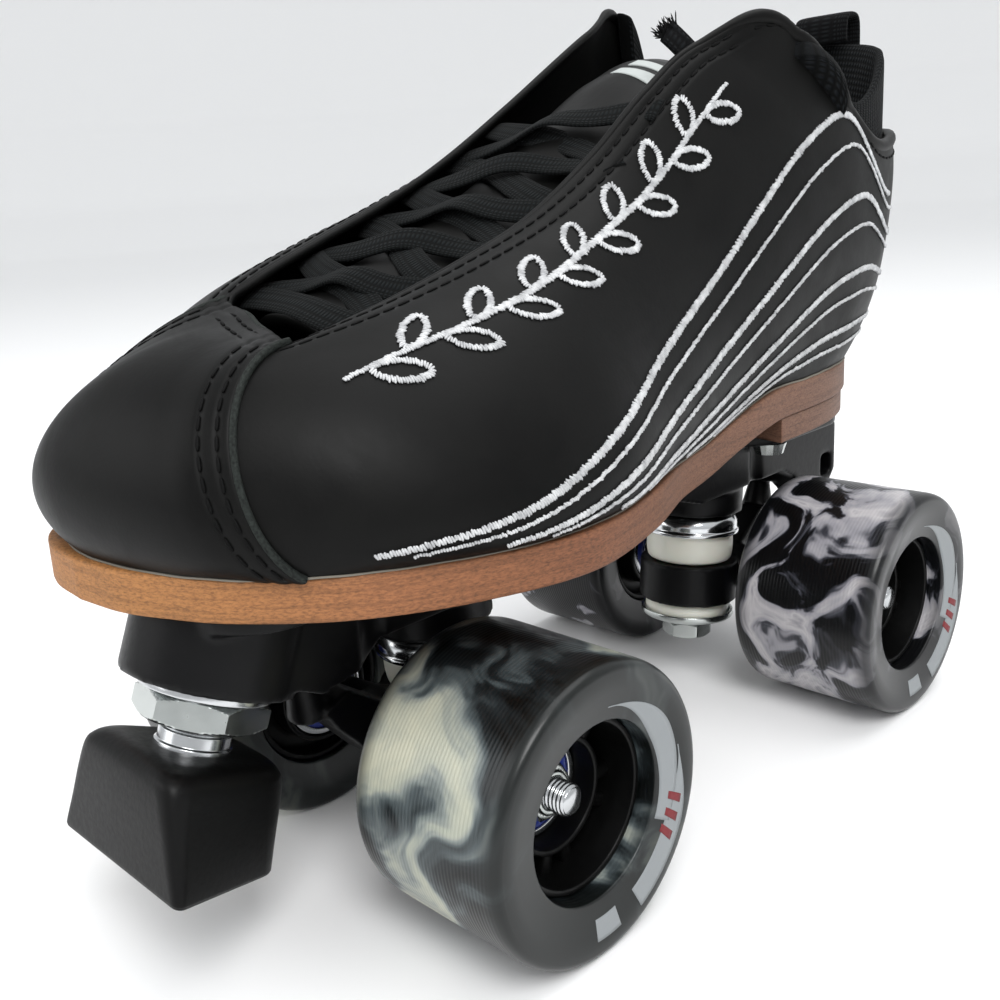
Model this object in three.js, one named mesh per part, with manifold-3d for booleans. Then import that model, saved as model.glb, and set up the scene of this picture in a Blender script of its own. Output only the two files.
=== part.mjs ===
// A quad roller skate for the left foot: a low leather boot on a nylon plate, two steering trucks,
// four urethane wheels and a screw-in toe stop. Millimetres, +X to the toe, +Y to the wearer's left,
// +Z up, the ground at z = 0. Every shape is first placed with x = 0 midway between the axles, and
// the whole skate is then moved along X so that its bounding box is centred over the origin.
import * as THREE from 'three';
import { mergeVertices } from 'three/addons/utils/BufferGeometryUtils.js';
import Module from 'manifold-3d';

const wasm = await Module();
wasm.setup();

// ---------------------------------------------------------------- driving dimensions
const GAP = 0.3;                 // clearance between two pieces that seat on each other
const ORIGIN_SHIFT = -1.35;       // moves the mid-axle point so that the bounding box is centred

const WHEEL_RADIUS = 31;
const WHEEL_WIDTH = 40;
const WHEEL_FACETS = 32;         // the tread rests on one of these flats
const TREAD_ROUND = 3.6;         // how far the rounded tread corner reaches inwards
const LIP_RADIUS = 18.6;         // the opening in the side of the urethane
const WHEEL_BASE = 138;
const TRACK = 88;                // between the middles of the left and right wheels

const AXLE_RADIUS = 3.5;
const AXLE_END = 55.5;           // how far each axle end stands out from the skate's middle
const BEARING_RADIUS = 11;
const BEARING_WIDTH = 7;
const OUTER_BEARING_FACE = 46.5; // distance from the skate's middle
const INNER_BEARING_FACE = 24.5;
const AXLE_NUT_FLATS = 11;
const AXLE_NUT_HEIGHT = 4;

const KINGPIN_OFFSET = 17;       // the kingpin stands this far inboard of the axle
const KINGPIN_TILT = 5;          // degrees, the foot of the kingpin leans to the skate's middle
const KINGPIN_RADIUS = 4;
const RING_HEIGHT_Z = 31;      // the middle of the hanger's ring over the ground
const RING_RADIUS = 14.5;
const RING_HEIGHT = 12;
const UPPER_CUSHION_HEIGHT = 12.7;
const LOWER_CUSHION_HEIGHT = 5.2;
const UPPER_CUP_SKIRT = 6;
const LOWER_CUP_SKIRT = 4.2;
const CUSHION_RADIUS = 12;
const CUP_WALL = 1.6;
const KINGPIN_NUT_HEIGHT = 4.4;
const PIVOT_OUT = 24;            // the pivot ball stands this far outboard of the axle
const PIVOT_Z = 54;
const PIVOT_LEAN = 10;           // degrees from the vertical, the pivot cup opens down and back
const PIVOT_BALL_RADIUS = 4;
const PIVOT_CUP_RADIUS = 7;
const PIVOT_CUP_LENGTH = 8;
const PIVOT_HOUSING_RADIUS = 10;
const AXLE_BEAM_RADIUS = 7.2;
const AXLE_BEAM_TIP = 5.6;

const PLATE_TOP = 77.2;
const PLATE_BOTTOM = 60;         // the lower edge of the plate's spine
const PLATE_ARCH = 65;           // the same edge midway between the trucks
const SPINE_HALF_WIDTH = 16;
const FLANGE_THICKNESS = 4;
const FRONT_FLANGE_HALF_WIDTH = 25;
const REAR_FLANGE_HALF_WIDTH = 26;
const NOSE_RADIUS = 17.8;
const TAIL_END = -112;
const ARCH_CLEARANCE = 1;         // between a wheel and whatever of the plate would reach over it
const TAIL_SLOT = { back: -109.3, front: -103, bottom: 53, top: 60 };
const BOLT_RADIUS = 2.5;
const BOLT_HEAD_RADIUS = 5;
const BOLT_HEAD_HEIGHT = 3.2;
const BOLT_GRIP = 5;             // how far a bolt reaches into the sole
const FRONT_BOLT = { x: 84, y: 19.8 };
const REAR_BOLT = { x: -64, y: 20.2 };

const STOP_TILT = 22.5;          // degrees from the vertical, its foot leans forwards
const STOP_FACE = { x: 114.7, z: 57.9 };
const STOP_STEM_RADIUS = 7.94;
const STOP_NUT_FLATS = 24;
const STOP_NUT_HEIGHT = 5.8;
const STOP_NUT_TURN = 42;        // degrees, one corner of the hexagon from straight ahead
const STOP_WASHER_RADIUS = 13.5;
const STOP_WASHER_THICKNESS = 1.6;
const STOP_NECK = 5.2;           // bare stem between the nut and the block
const STOP_BLOCK_HEIGHT = 23.7;
const STEM_IN_PLATE = 11;
const STOP_TRAVEL = 4.5;           // how far the stop screws in or out from where it stands
const STEM_IN_BLOCK = 11;

const SOLE_BOTTOM = 77.5;
const SOLE_THICKNESS = 8.5;
const HEEL_HEIGHT = 7;
const HEEL_RISE = { front: 0, back: -50 };  // the sole climbs to the heel between these
const HEEL_BREAST = -47;         // the front face of the heel block
const LEATHER = 2;
const COLLAR_PADDING = 6;
const COLLAR_CLEARANCE = 1;      // between the leather and the padding inside it
const FOOTBED_THICKNESS = 3;
const TONGUE_THICKNESS = 5;
const LACE_RADIUS = 1.5;

// The sole's outline, from the toe to the back of the heel: [x, y] down the outer (left) side,
// then the same down the inner side.
const SOLE_OUTER = [
  [132.5, -13], [131, 0], [127.5, 10], [121, 23], [107, 39], [87, 51], [62, 57.5],
  [35, 52], [10, 42.5], [-15, 37], [-45, 35], [-80, 32], [-104, 21], [-113, 0],
];
const SOLE_INNER = [
  [132.5, -13], [131, -26], [126, -37], [116, -45.5], [100, -49.5], [80, -48.5], [55, -45],
  [28, -38], [3, -33], [-20, -31], [-50, -31], [-80, -32], [-104, -21], [-113, 0],
];

// The upper, once round the foot from the toe along the outer side to the heel and back along the
// inner side. Each row is one line drawn from the sole up to the opening:
// [x, y] at the sole, a point a third of the way up, a point two thirds up, and the rim.
const UPPER = [
  [[130, -11], [134, -13, 103], [122, -8, 120], [94.5, 1, 127]],                  // toe
  [[125, 15], [128.5, 16, 102], [119.5, 8, 119], [96.5, 8, 125.8]],
  [[114, 32.5], [121.5, 27, 100], [116, 20.5, 116.5], [98, 16, 124]],             // outer toe seam
  [[97, 45], [101, 46, 100], [99, 33, 118], [88, 16.8, 126.3]],
  [[75, 54], [77, 55.5, 100], [77, 40, 120.5], [74, 17.8, 130]],
  [[50, 54.5], [50.5, 55.5, 102], [54, 41.5, 124], [57, 18.8, 135.2]],
  [[20, 44.5], [21, 47.5, 104], [27, 39, 129.5], [36, 19.9, 142.8]],
  [[-10, 36.5], [-10, 41.5, 108], [-1, 37.8, 136], [15, 21.3, 154.8]],
  [[-37, 33.5], [-38, 40, 114.5], [-27, 38.7, 146], [-4, 23.2, 169]],
  [[-60, 33.5], [-63, 38.5, 119], [-50, 40, 153], [-22, 25.5, 179.5]],            // top of the eyestay
  [[-79, 31], [-85, 37, 119], [-75, 39.5, 154], [-46, 34.5, 184]],
  [[-96, 26], [-104, 32, 115], [-100, 36, 136], [-87, 37.5, 155.5]],              // ankle dip
  [[-107, 14.5], [-120, 19, 115], [-123.5, 24, 137], [-120, 27, 157]],
  [[-111, 0], [-126.5, 0, 114], [-133.5, 0, 136], [-136.5, 0, 159]],              // back seam
  [[-107, -14.5], [-120, -19, 115], [-123.5, -24, 138], [-120, -27, 159]],
  [[-96, -26], [-104, -32, 116], [-101, -36.5, 140], [-92, -37, 165]],
  [[-79, -30.5], [-85, -36.5, 121], [-80, -38.5, 158], [-66, -34, 194.5]],
  [[-60, -29.5], [-63, -37, 122], [-57, -38.5, 158], [-44, -27, 189.5]],
  [[-30, -29.5], [-31, -37, 116], [-22, -37, 150], [-8, -24.8, 170.5]],
  [[2, -31.5], [3, -39.5, 109], [7, -36.5, 140], [18, -22.8, 157.5]],
  [[35, -38.5], [35, -44, 105.5], [38, -37.5, 134], [41, -21.2, 148]],
  [[65, -45.5], [66, -49, 104], [66, -38.5, 129], [62, -19.5, 141]],
  [[92, -47], [94, -50, 103], [91, -36, 124], [80, -17.3, 135]],
  [[111, -44], [118, -43, 102], [111, -25, 119.5], [90, -15.5, 130]],             // inner toe seam
  [[124, -33], [129.5, -31, 102.5], [119.5, -17, 119.5], [92.5, -5, 128.5]],
];
const OUTER_SEAM = 2;            // rows of the table above, where one panel meets the next
const OUTER_EYESTAY_TOP = 9;
const BACK_SEAM = 13;
const INNER_EYESTAY_TOP = 17;
const INNER_SEAM = 23;
const COLLAR_BACK_RISE = 27;     // the padding stands this far above the leather at the back

// ---------------------------------------------------------------- colours and finishes
const finish = (color, roughness, metalness = 0) =>
  new THREE.MeshStandardMaterial({ color, roughness, metalness });
const LEATHER_BLACK = finish(0x141416, 0.55);
const MESH_BLACK = finish(0x1b1c1f, 0.95);
const LACE_BLACK = finish(0x101113, 0.9);
const SOLE_LEATHER = finish(0x9c5f44, 0.75);
const NYLON_BLACK = finish(0x1a1b1d, 0.5);
const CHROME = finish(0xd8dade, 0.12, 1);
const STEEL = finish(0xaeb1b5, 0.3, 1);
const ZINC = finish(0xb9bec0, 0.28, 1);
const CUSHION_WHITE = finish(0xe4dfd2, 0.45);
const URETHANE_FRONT = finish(0xb7beb4, 0.35);
const URETHANE_REAR = finish(0x3b3d45, 0.35);
const BEARING_BLUE = finish(0x2b3f8c, 0.4, 0.2);
const RUBBER_BLACK = finish(0x161616, 0.7);

// ---------------------------------------------------------------- solids and meshes
const skate = new THREE.Group();
skate.position.x = ORIGIN_SHIFT;

/** Volume inside a triangle mesh, negative when its faces point inwards. */
function signedVolume(geometry) {
  const p = geometry.attributes.position;
  const index = geometry.index;
  const [a, b, c] = [new THREE.Vector3(), new THREE.Vector3(), new THREE.Vector3()];
  let volume = 0;
  for (let i = 0; i < index.count; i += 3) {
    a.fromBufferAttribute(p, index.getX(i));
    b.fromBufferAttribute(p, index.getX(i + 1));
    c.fromBufferAttribute(p, index.getX(i + 2));
    volume += a.dot(b.cross(c)) / 6;
  }
  return volume;
}

/** The same surface with its vertices merged and every face pointing out. */
function closed(geometry) {
  geometry.deleteAttribute('normal');
  geometry.deleteAttribute('uv');
  const merged = mergeVertices(geometry, 1e-4);
  const kept = [];
  for (let i = 0; i < merged.index.count; i += 3) {
    const face = [0, 1, 2].map((k) => merged.index.getX(i + k));
    if (new Set(face).size === 3) kept.push(face);
  }
  merged.setIndex(kept.flat());
  if (signedVolume(merged) < 0) merged.setIndex(kept.flatMap(([p, q, r]) => [p, r, q]));
  return merged;
}

const toManifold = (geometry) => {
  const g = closed(geometry);
  return new wasm.Manifold(new wasm.Mesh({
    numProp: 3,
    vertProperties: new Float32Array(g.attributes.position.array),
    triVerts: new Uint32Array(g.index.array),
  }));
};

const toGeometry = (manifold) => {
  const { vertProperties, triVerts } = manifold.getMesh();
  const g = new THREE.BufferGeometry();
  g.setAttribute('position', new THREE.BufferAttribute(new Float32Array(vertProperties), 3));
  g.setIndex(new THREE.BufferAttribute(new Uint32Array(triVerts), 1));
  return g;
};

const join = (...shapes) => shapes.map(toManifold).reduce((a, b) => a.add(b));
const cut = (body, ...tools) => tools.map(toManifold).reduce((a, b) => a.subtract(b), body);

function addNode(name, shape, material, parent = skate) {
  const mesh = new THREE.Mesh(shape instanceof wasm.Manifold ? toGeometry(shape) : closed(shape), material);
  mesh.name = name;
  parent.add(mesh);
  return mesh;
}

/** A cylinder from (x, y, z) to (x, y, z) of two ends, with its own radius at each end. */
function rod(from, to, radius, endRadius = radius, sides = 14) {
  const start = new THREE.Vector3(...from);
  const axis = new THREE.Vector3(...to).sub(start);
  const g = new THREE.CylinderGeometry(endRadius, radius, axis.length(), sides);
  g.translate(0, axis.length() / 2, 0);
  g.applyQuaternion(new THREE.Quaternion().setFromUnitVectors(new THREE.Vector3(0, 1, 0), axis.normalize()));
  return g.translate(start.x, start.y, start.z);
}

/** A turned shape about Z: profile points are [radius, height], and it closes on itself. */
function turned(profile, sides = 20, phase = 0) {
  const points = [...profile, profile[0]].map(([r, h]) => new THREE.Vector2(r, h));
  return new THREE.LatheGeometry(points, sides, phase).rotateX(Math.PI / 2);
}

const box = (x0, x1, y0, y1, z0, z1) =>
  new THREE.BoxGeometry(x1 - x0, y1 - y0, z1 - z0).translate((x0 + x1) / 2, (y0 + y1) / 2, (z0 + z1) / 2);

const hexagon = (flats, z0, z1, turn = 0) =>
  new THREE.CylinderGeometry(flats / Math.sqrt(3), flats / Math.sqrt(3), z1 - z0, 6)
    .rotateX(Math.PI / 2).rotateZ(THREE.MathUtils.degToRad(turn) - Math.PI / 2).translate(0, 0, (z0 + z1) / 2);

/** Extrudes a closed side view, given as [x, z] points, to both sides of y = 0. */
function sideProfile(points, halfWidth) {
  const shape = new THREE.Shape(points.map(([x, z]) => new THREE.Vector2(x, z)));
  return new THREE.ExtrudeGeometry(shape, { depth: 2 * halfWidth, bevelEnabled: false, curveSegments: 8 })
    .rotateX(Math.PI / 2).translate(0, halfWidth, 0);
}

/** Joins closed loops of equal length into one skin, and closes its two ends with fans. */
function loft(loops) {
  const count = loops[0].length;
  const positions = loops.flat().flatMap((p) => [p.x, p.y, p.z]);
  const index = [];
  const quad = (a, b, c, d) => index.push(a, b, c, a, c, d);
  for (let k = 0; k < loops.length - 1; k++) {
    for (let i = 0; i < count; i++) {
      const j = (i + 1) % count;
      quad(k * count + i, k * count + j, (k + 1) * count + j, (k + 1) * count + i);
    }
  }
  [0, loops.length - 1].forEach((k) => {
    const middle = loops[k].reduce((sum, p) => sum.clone().add(p), new THREE.Vector3()).divideScalar(count);
    const hub = positions.length / 3;
    positions.push(middle.x, middle.y, middle.z);
    for (let i = 0; i < count; i++) {
      const edge = [k * count + (i + 1) % count, k * count + i];
      index.push(hub, ...(k === 0 ? edge : edge.reverse()));
    }
  });
  const g = new THREE.BufferGeometry();
  g.setAttribute('position', new THREE.Float32BufferAttribute(positions, 3));
  g.setIndex(index);
  return g;
}

/** A sheet with thickness: grid[row][column] of outer points, and the matching inner points. */
function shell(outer, inner) {
  const rows = outer.length;
  const columns = outer[0].length;
  const ring = (row) => [...outer[row], ...inner[row].slice().reverse()];
  const loops = outer.map((_, row) => ring(row));
  const positions = loops.flat().flatMap((p) => [p.x, p.y, p.z]);
  const count = 2 * columns;
  const index = [];
  for (let k = 0; k < rows - 1; k++) {
    for (let i = 0; i < count; i++) {
      const j = (i + 1) % count;
      const [a, b] = [k * count + i, k * count + j];
      index.push(a, b, b + count, a, b + count, a + count);
    }
  }
  for (const k of [0, rows - 1]) {
    for (let i = 0; i < columns - 1; i++) {
      const [a, b] = [k * count + i, k * count + i + 1];
      const [c, d] = [k * count + count - 2 - i, k * count + count - 1 - i];
      index.push(...(k === 0 ? [a, c, b, a, d, c] : [a, b, c, a, c, d]));
    }
  }
  const g = new THREE.BufferGeometry();
  g.setAttribute('position', new THREE.Float32BufferAttribute(positions, 3));
  g.setIndex(index);
  return g;
}

const steps = (from, to, count) => Array.from({ length: count + 1 }, (_, i) => from + (to - from) * i / count);

// ---------------------------------------------------------------- wheels
const AXLE_Z = WHEEL_RADIUS * Math.cos(Math.PI / WHEEL_FACETS);
const WHEEL_MIDDLE = TRACK / 2;
const HALF_WHEEL = WHEEL_WIDTH / 2;
const HUB_RING = LIP_RADIUS - GAP;
const HUB_BARREL = BEARING_RADIUS + 1.4;
const SPOKE_OUT = 8;             // outer face of the spokes, from the wheel's middle

/** Urethane tyre about Z: flat tread, rounded corners, conical side lips. */
function tyreShape() {
  const corner = steps(0, Math.PI / 2, 2).map((a) => [
    WHEEL_RADIUS - TREAD_ROUND * (1 - Math.cos(a)),
    HALF_WHEEL - TREAD_ROUND * (1 - Math.sin(a)),
  ]);
  const side = [...corner, [LIP_RADIUS, HALF_WHEEL - 2]];
  const mirrored = side.map(([r, h]) => [r, -h]).reverse();
  return turned([...mirrored, ...side], WHEEL_FACETS, Math.PI / WHEEL_FACETS);
}

/** Nylon hub about Z: outer ring, bearing barrel, and five pairs of spokes between them. */
function hubShape() {
  const outerFace = OUTER_BEARING_FACE - WHEEL_MIDDLE;
  const innerFace = INNER_BEARING_FACE - WHEEL_MIDDLE;
  const seat = BEARING_RADIUS + GAP;
  const outerSeat = outerFace - BEARING_WIDTH - GAP;
  const innerSeat = innerFace + BEARING_WIDTH + GAP;
  const ringIn = HUB_RING - 1.2;
  const body = toManifold(turned([
    [HUB_BARREL, innerFace], [HUB_BARREL, -14], [ringIn, -14], [ringIn, -17], [HUB_RING, -17],
    [HUB_RING, 14], [ringIn, 14], [ringIn, SPOKE_OUT], [seat, SPOKE_OUT], [seat, outerSeat],
    [8.5, outerSeat], [8.5, innerSeat], [seat, innerSeat], [seat, innerFace],
  ], 16));
  const window = (from, to) => {
    const shape = new THREE.Shape();
    shape.absarc(0, 0, ringIn, THREE.MathUtils.degToRad(from), THREE.MathUtils.degToRad(to), false);
    shape.absarc(0, 0, HUB_BARREL, THREE.MathUtils.degToRad(to), THREE.MathUtils.degToRad(from), true);
    return new THREE.ExtrudeGeometry(shape, { depth: 30, bevelEnabled: false, curveSegments: 1 })
      .translate(0, 0, -20);
  };
  const windows = steps(0, 4 * 72, 4).flatMap((a) => [window(a, a + 36), window(a + 48, a + 60)]);
  return cut(body, ...windows);
}

const bearingShape = () => turned([
  [AXLE_RADIUS + GAP, 0], [BEARING_RADIUS, 0], [BEARING_RADIUS, BEARING_WIDTH], [AXLE_RADIUS + GAP, BEARING_WIDTH],
], 16);

function buildWheel(truck, side, name, urethane) {
  const wheel = new THREE.Group();
  wheel.position.set(WHEEL_BASE / 2, side * WHEEL_MIDDLE, AXLE_Z);
  wheel.rotation.x = -side * Math.PI / 2;
  truck.add(wheel);
  addNode(`tyre_${name}`, tyreShape(), urethane, wheel);
  addNode(`hub_${name}`, hubShape(), NYLON_BLACK, wheel);
  const outer = OUTER_BEARING_FACE - WHEEL_MIDDLE - BEARING_WIDTH;
  const inner = INNER_BEARING_FACE - WHEEL_MIDDLE;
  addNode(`bearing_outer_${name}`, bearingShape().translate(0, 0, outer), BEARING_BLUE, wheel);
  addNode(`bearing_inner_${name}`, bearingShape().translate(0, 0, inner), BEARING_BLUE, wheel);
  const nutFrom = OUTER_BEARING_FACE - WHEEL_MIDDLE + GAP;
  const nut = toManifold(hexagon(AXLE_NUT_FLATS, nutFrom, nutFrom + AXLE_NUT_HEIGHT));
  addNode(`axle_nut_${name}`, cut(nut, rod([0, 0, -20], [0, 0, 20], AXLE_RADIUS + GAP)), ZINC, wheel);
}

// ---------------------------------------------------------------- trucks
const KINGPIN_X = WHEEL_BASE / 2 - KINGPIN_OFFSET;
const RING_HALF = RING_HEIGHT / 2;
const PIVOT_X = WHEEL_BASE / 2 + PIVOT_OUT;
const UPPER_CUP_TOP = RING_HALF + GAP + UPPER_CUSHION_HEIGHT + GAP + CUP_WALL;
const LOWER_CUP_BOTTOM = -(RING_HALF + GAP + LOWER_CUSHION_HEIGHT + GAP + CUP_WALL);
const KINGPIN_FOOT = LOWER_CUP_BOTTOM - GAP - KINGPIN_NUT_HEIGHT - 0.8;
const KINGPIN_HEAD = 40;
const PIVOT_CUP_MOUTH = 1.5;      // the cup reaches this far below the ball's middle
const PIVOT_POINT = new THREE.Vector3(PIVOT_X, 0, PIVOT_Z);
const PIVOT_AXIS = new THREE.Vector3(
  Math.sin(THREE.MathUtils.degToRad(PIVOT_LEAN)), 0, Math.cos(THREE.MathUtils.degToRad(PIVOT_LEAN)),
);

/** Point on the pivot cup's axis, a distance above the ball's middle. */
const onPivot = (distance) => PIVOT_POINT.clone().addScaledVector(PIVOT_AXIS, distance).toArray();

/** Local frame of the kingpin, with its origin at the ring's middle and +Z up the pin. */
function placeOnKingpin(geometry) {
  return geometry.rotateY(THREE.MathUtils.degToRad(KINGPIN_TILT)).translate(KINGPIN_X, 0, RING_HEIGHT_Z);
}

function cushionShape(from, to, bulge) {
  const bore = KINGPIN_RADIUS + GAP;
  const half = (from + to) / 2;
  return turned([
    [bore, from], [CUSHION_RADIUS, from], [CUSHION_RADIUS + bulge, half], [CUSHION_RADIUS, to], [bore, to],
  ]);
}

/** A dished steel cup that holds the end of a cushion. Its floor is at z = 0 and its skirt at lip. */
function cupShape(lip, floorRadius) {
  const bore = KINGPIN_RADIUS + GAP;
  const inner = CUSHION_RADIUS + 0.6;
  return turned([
    [bore, 0], [floorRadius, 0], [inner + CUP_WALL * 0.8, lip * 0.45], [inner + CUP_WALL * 0.8, lip],
    [inner, lip], [inner, lip * 0.45 + 0.2], [inner - 0.6, CUP_WALL], [bore, CUP_WALL],
  ]);
}

/** The hanger: ring round the kingpin, axle beam, rib between them, and the arm to the pivot ball. */
function hangerShape() {
  const axleX = WHEEL_BASE / 2;
  const end = INNER_BEARING_FACE - 0.4;
  const ring = placeOnKingpin(rod([0, 0, -RING_HALF], [0, 0, RING_HALF], RING_RADIUS, RING_RADIUS, 40));
  const beam = [
    rod([axleX, -end, AXLE_Z], [axleX, 0, AXLE_Z], AXLE_BEAM_TIP, AXLE_BEAM_RADIUS, 24),
    rod([axleX, 0, AXLE_Z], [axleX, end, AXLE_Z], AXLE_BEAM_RADIUS, AXLE_BEAM_TIP, 24),
  ];
  const rib = sideProfile([
    [KINGPIN_X + 9, RING_HEIGHT_Z - 5.5], [axleX, AXLE_Z - 7], [axleX + 8, AXLE_Z - 5],
    [PIVOT_X - 5, PIVOT_Z - 16], [PIVOT_X - 2, PIVOT_Z - 11], [PIVOT_X - 9, PIVOT_Z - 8],
    [axleX + 3, AXLE_Z + 7], [KINGPIN_X + 9, RING_HEIGHT_Z + 5.5],
  ], 6);
  const arm = rod(onPivot(-13), onPivot(0), 5.5, 2.8);
  const ball = new THREE.SphereGeometry(PIVOT_BALL_RADIUS, 12, 7).translate(PIVOT_X, 0, PIVOT_Z);
  return cut(
    join(ring, ...beam, rib, arm, ball),
    placeOnKingpin(rod([0, 0, RING_HALF], [0, 0, 30], CUSHION_RADIUS + 1.2)),
    placeOnKingpin(rod([0, 0, -30], [0, 0, -RING_HALF], CUSHION_RADIUS + 1.2)),
    placeOnKingpin(rod([0, 0, -20], [0, 0, 20], KINGPIN_RADIUS + 1.6)),
    rod([axleX, -60, AXLE_Z], [axleX, 60, AXLE_Z], AXLE_RADIUS + GAP),
  );
}

/** Plastic cup in the plate that the pivot ball turns in. */
function pivotCupShape() {
  const mouth = onPivot(-PIVOT_CUP_MOUTH);
  const back = onPivot(PIVOT_CUP_LENGTH - PIVOT_CUP_MOUTH);
  const hollow = new THREE.SphereGeometry(PIVOT_BALL_RADIUS + GAP, 12, 7).translate(PIVOT_X, 0, PIVOT_Z);
  const throat = rod(onPivot(-3), onPivot(0), PIVOT_BALL_RADIUS + 1.2, PIVOT_BALL_RADIUS + GAP);
  return cut(toManifold(rod(mouth, back, PIVOT_CUP_RADIUS)), hollow, throat);
}

function buildTruck(end, turn, urethane) {
  const truck = new THREE.Group();
  truck.rotation.z = turn;
  skate.add(truck);
  const add = (name, shape, material) => addNode(`${name}_${end}`, shape, material, truck);

  const pin = placeOnKingpin(rod([0, 0, KINGPIN_FOOT], [0, 0, KINGPIN_HEAD], KINGPIN_RADIUS));
  add('kingpin', pin, STEEL);
  const upperFrom = RING_HALF + GAP;
  const upperTo = upperFrom + UPPER_CUSHION_HEIGHT;
  add('cushion_upper', placeOnKingpin(cushionShape(upperFrom, upperTo, 0.4)), CUSHION_WHITE);
  const upperCup = cupShape(UPPER_CUP_SKIRT, CUSHION_RADIUS - 1)
    .rotateX(Math.PI).translate(0, 0, upperTo + GAP + CUP_WALL);
  add('cushion_cup_upper', placeOnKingpin(upperCup), CHROME);
  const lowerTo = -(RING_HALF + GAP);
  const lowerFrom = lowerTo - LOWER_CUSHION_HEIGHT;
  add('cushion_lower', placeOnKingpin(cushionShape(lowerFrom, lowerTo, 0.3)), CUSHION_WHITE);
  const lowerCup = cupShape(LOWER_CUP_SKIRT, CUSHION_RADIUS - 4).translate(0, 0, LOWER_CUP_BOTTOM);
  add('cushion_cup_lower', placeOnKingpin(lowerCup), ZINC);
  const nutTo = LOWER_CUP_BOTTOM - GAP;
  const nut = cut(toManifold(hexagon(12.7, nutTo - KINGPIN_NUT_HEIGHT, nutTo)),
    rod([0, 0, -40], [0, 0, 0], KINGPIN_RADIUS + GAP));
  add('kingpin_nut', placeOnKingpin(toGeometry(nut)), ZINC);

  add('hanger', hangerShape(), NYLON_BLACK);
  add('pivot_cup', pivotCupShape(), NYLON_BLACK);
  const axle = rod([WHEEL_BASE / 2, -AXLE_END, AXLE_Z], [WHEEL_BASE / 2, AXLE_END, AXLE_Z], AXLE_RADIUS);
  add('axle', axle, STEEL);
  // The rear truck is turned half round, so its own left is the skate's right.
  const flip = turn === 0 ? 1 : -1;
  buildWheel(truck, flip, `${end}_left`, urethane);
  buildWheel(truck, -flip, `${end}_right`, urethane);
}

// ---------------------------------------------------------------- toe stop
const STOP_ANGLE = THREE.MathUtils.degToRad(STOP_TILT);
const WASHER_TO = GAP + STOP_WASHER_THICKNESS;
const NUT_FROM = WASHER_TO + GAP;
const NUT_TO = NUT_FROM + STOP_NUT_HEIGHT;
const BLOCK_TOP = NUT_TO + STOP_NECK;

/** Local frame of the toe stop: origin on the plate's nose face, +Z down the stem, +X forwards. */
const placeOnStop = (geometry) => geometry
  .rotateX(Math.PI).rotateY(-STOP_ANGLE).translate(STOP_FACE.x, 0, STOP_FACE.z);

/** Outline of the rubber block: wide in front, narrow behind, with round corners. */
function blockOutline(front, back, halfFront, halfBack, radius, z) {
  const corners = [[front, halfFront], [back, halfBack], [back, -halfBack], [front, -halfFront]];
  const starts = [0, 90, 180, 270];
  return corners.flatMap(([x, y], k) => steps(0, 90, 4).map((a) => {
    const angle = THREE.MathUtils.degToRad(starts[k] + a);
    return new THREE.Vector3(
      x - Math.sign(x - (front + back) / 2) * radius + radius * Math.cos(angle),
      y - Math.sign(y) * radius + radius * Math.sin(angle),
      z,
    );
  }));
}

function buildToeStop() {
  const add = (name, shape, material) => addNode(name, placeOnStop(shape), material);
  const bore = STOP_STEM_RADIUS + GAP;
  add('toe_stop_washer', turned([[bore, GAP], [STOP_WASHER_RADIUS, GAP],
    [STOP_WASHER_RADIUS, WASHER_TO], [bore, WASHER_TO]]), STEEL);
  const nut = cut(toManifold(hexagon(STOP_NUT_FLATS, NUT_FROM, NUT_TO, STOP_NUT_TURN)),
    rod([0, 0, 0], [0, 0, 30], bore));
  add('toe_stop_jam_nut', toGeometry(nut), ZINC);
  add('toe_stop_stem',
    rod([0, 0, -STEM_IN_PLATE], [0, 0, BLOCK_TOP + STEM_IN_BLOCK], STOP_STEM_RADIUS), STEEL);
  const bottom = BLOCK_TOP + STOP_BLOCK_HEIGHT;
  const block = toManifold(loft([
    blockOutline(13, -14, 15.5, 11.5, 5, BLOCK_TOP),
    blockOutline(15.5, -16.5, 18.5, 14, 5, BLOCK_TOP + 3),
    blockOutline(11.4, -20, 23, 10.5, 3, bottom - 0.8),
    blockOutline(10.8, -19.4, 22.4, 10, 3, bottom),
  ]));
  const pocket = rod([0, 0, BLOCK_TOP - 5], [0, 0, BLOCK_TOP + STEM_IN_BLOCK + GAP], bore);
  add('toe_stop_block', toGeometry(cut(block, pocket)), RUBBER_BLACK);
}

// ---------------------------------------------------------------- plate
/** Extrudes a flange with round ends between two heights. */
function flange(x0, x1, halfWidth) {
  const radius = halfWidth * 0.6;
  const shape = new THREE.Shape();
  shape.absarc(x1 - radius, halfWidth - radius, radius, 0, Math.PI / 2, false);
  shape.absarc(x0 + radius, halfWidth - radius, radius, Math.PI / 2, Math.PI, false);
  shape.absarc(x0 + radius, radius - halfWidth, radius, Math.PI, 1.5 * Math.PI, false);
  shape.absarc(x1 - radius, radius - halfWidth, radius, 1.5 * Math.PI, 2 * Math.PI, false);
  return new THREE.ExtrudeGeometry(shape, { depth: FLANGE_THICKNESS, bevelEnabled: false, curveSegments: 4 })
    .translate(0, 0, PLATE_TOP - FLANGE_THICKNESS);
}

const boltPlaces = [FRONT_BOLT, REAR_BOLT].flatMap(({ x, y }) => [[x, y], [x, -y]]);

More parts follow.
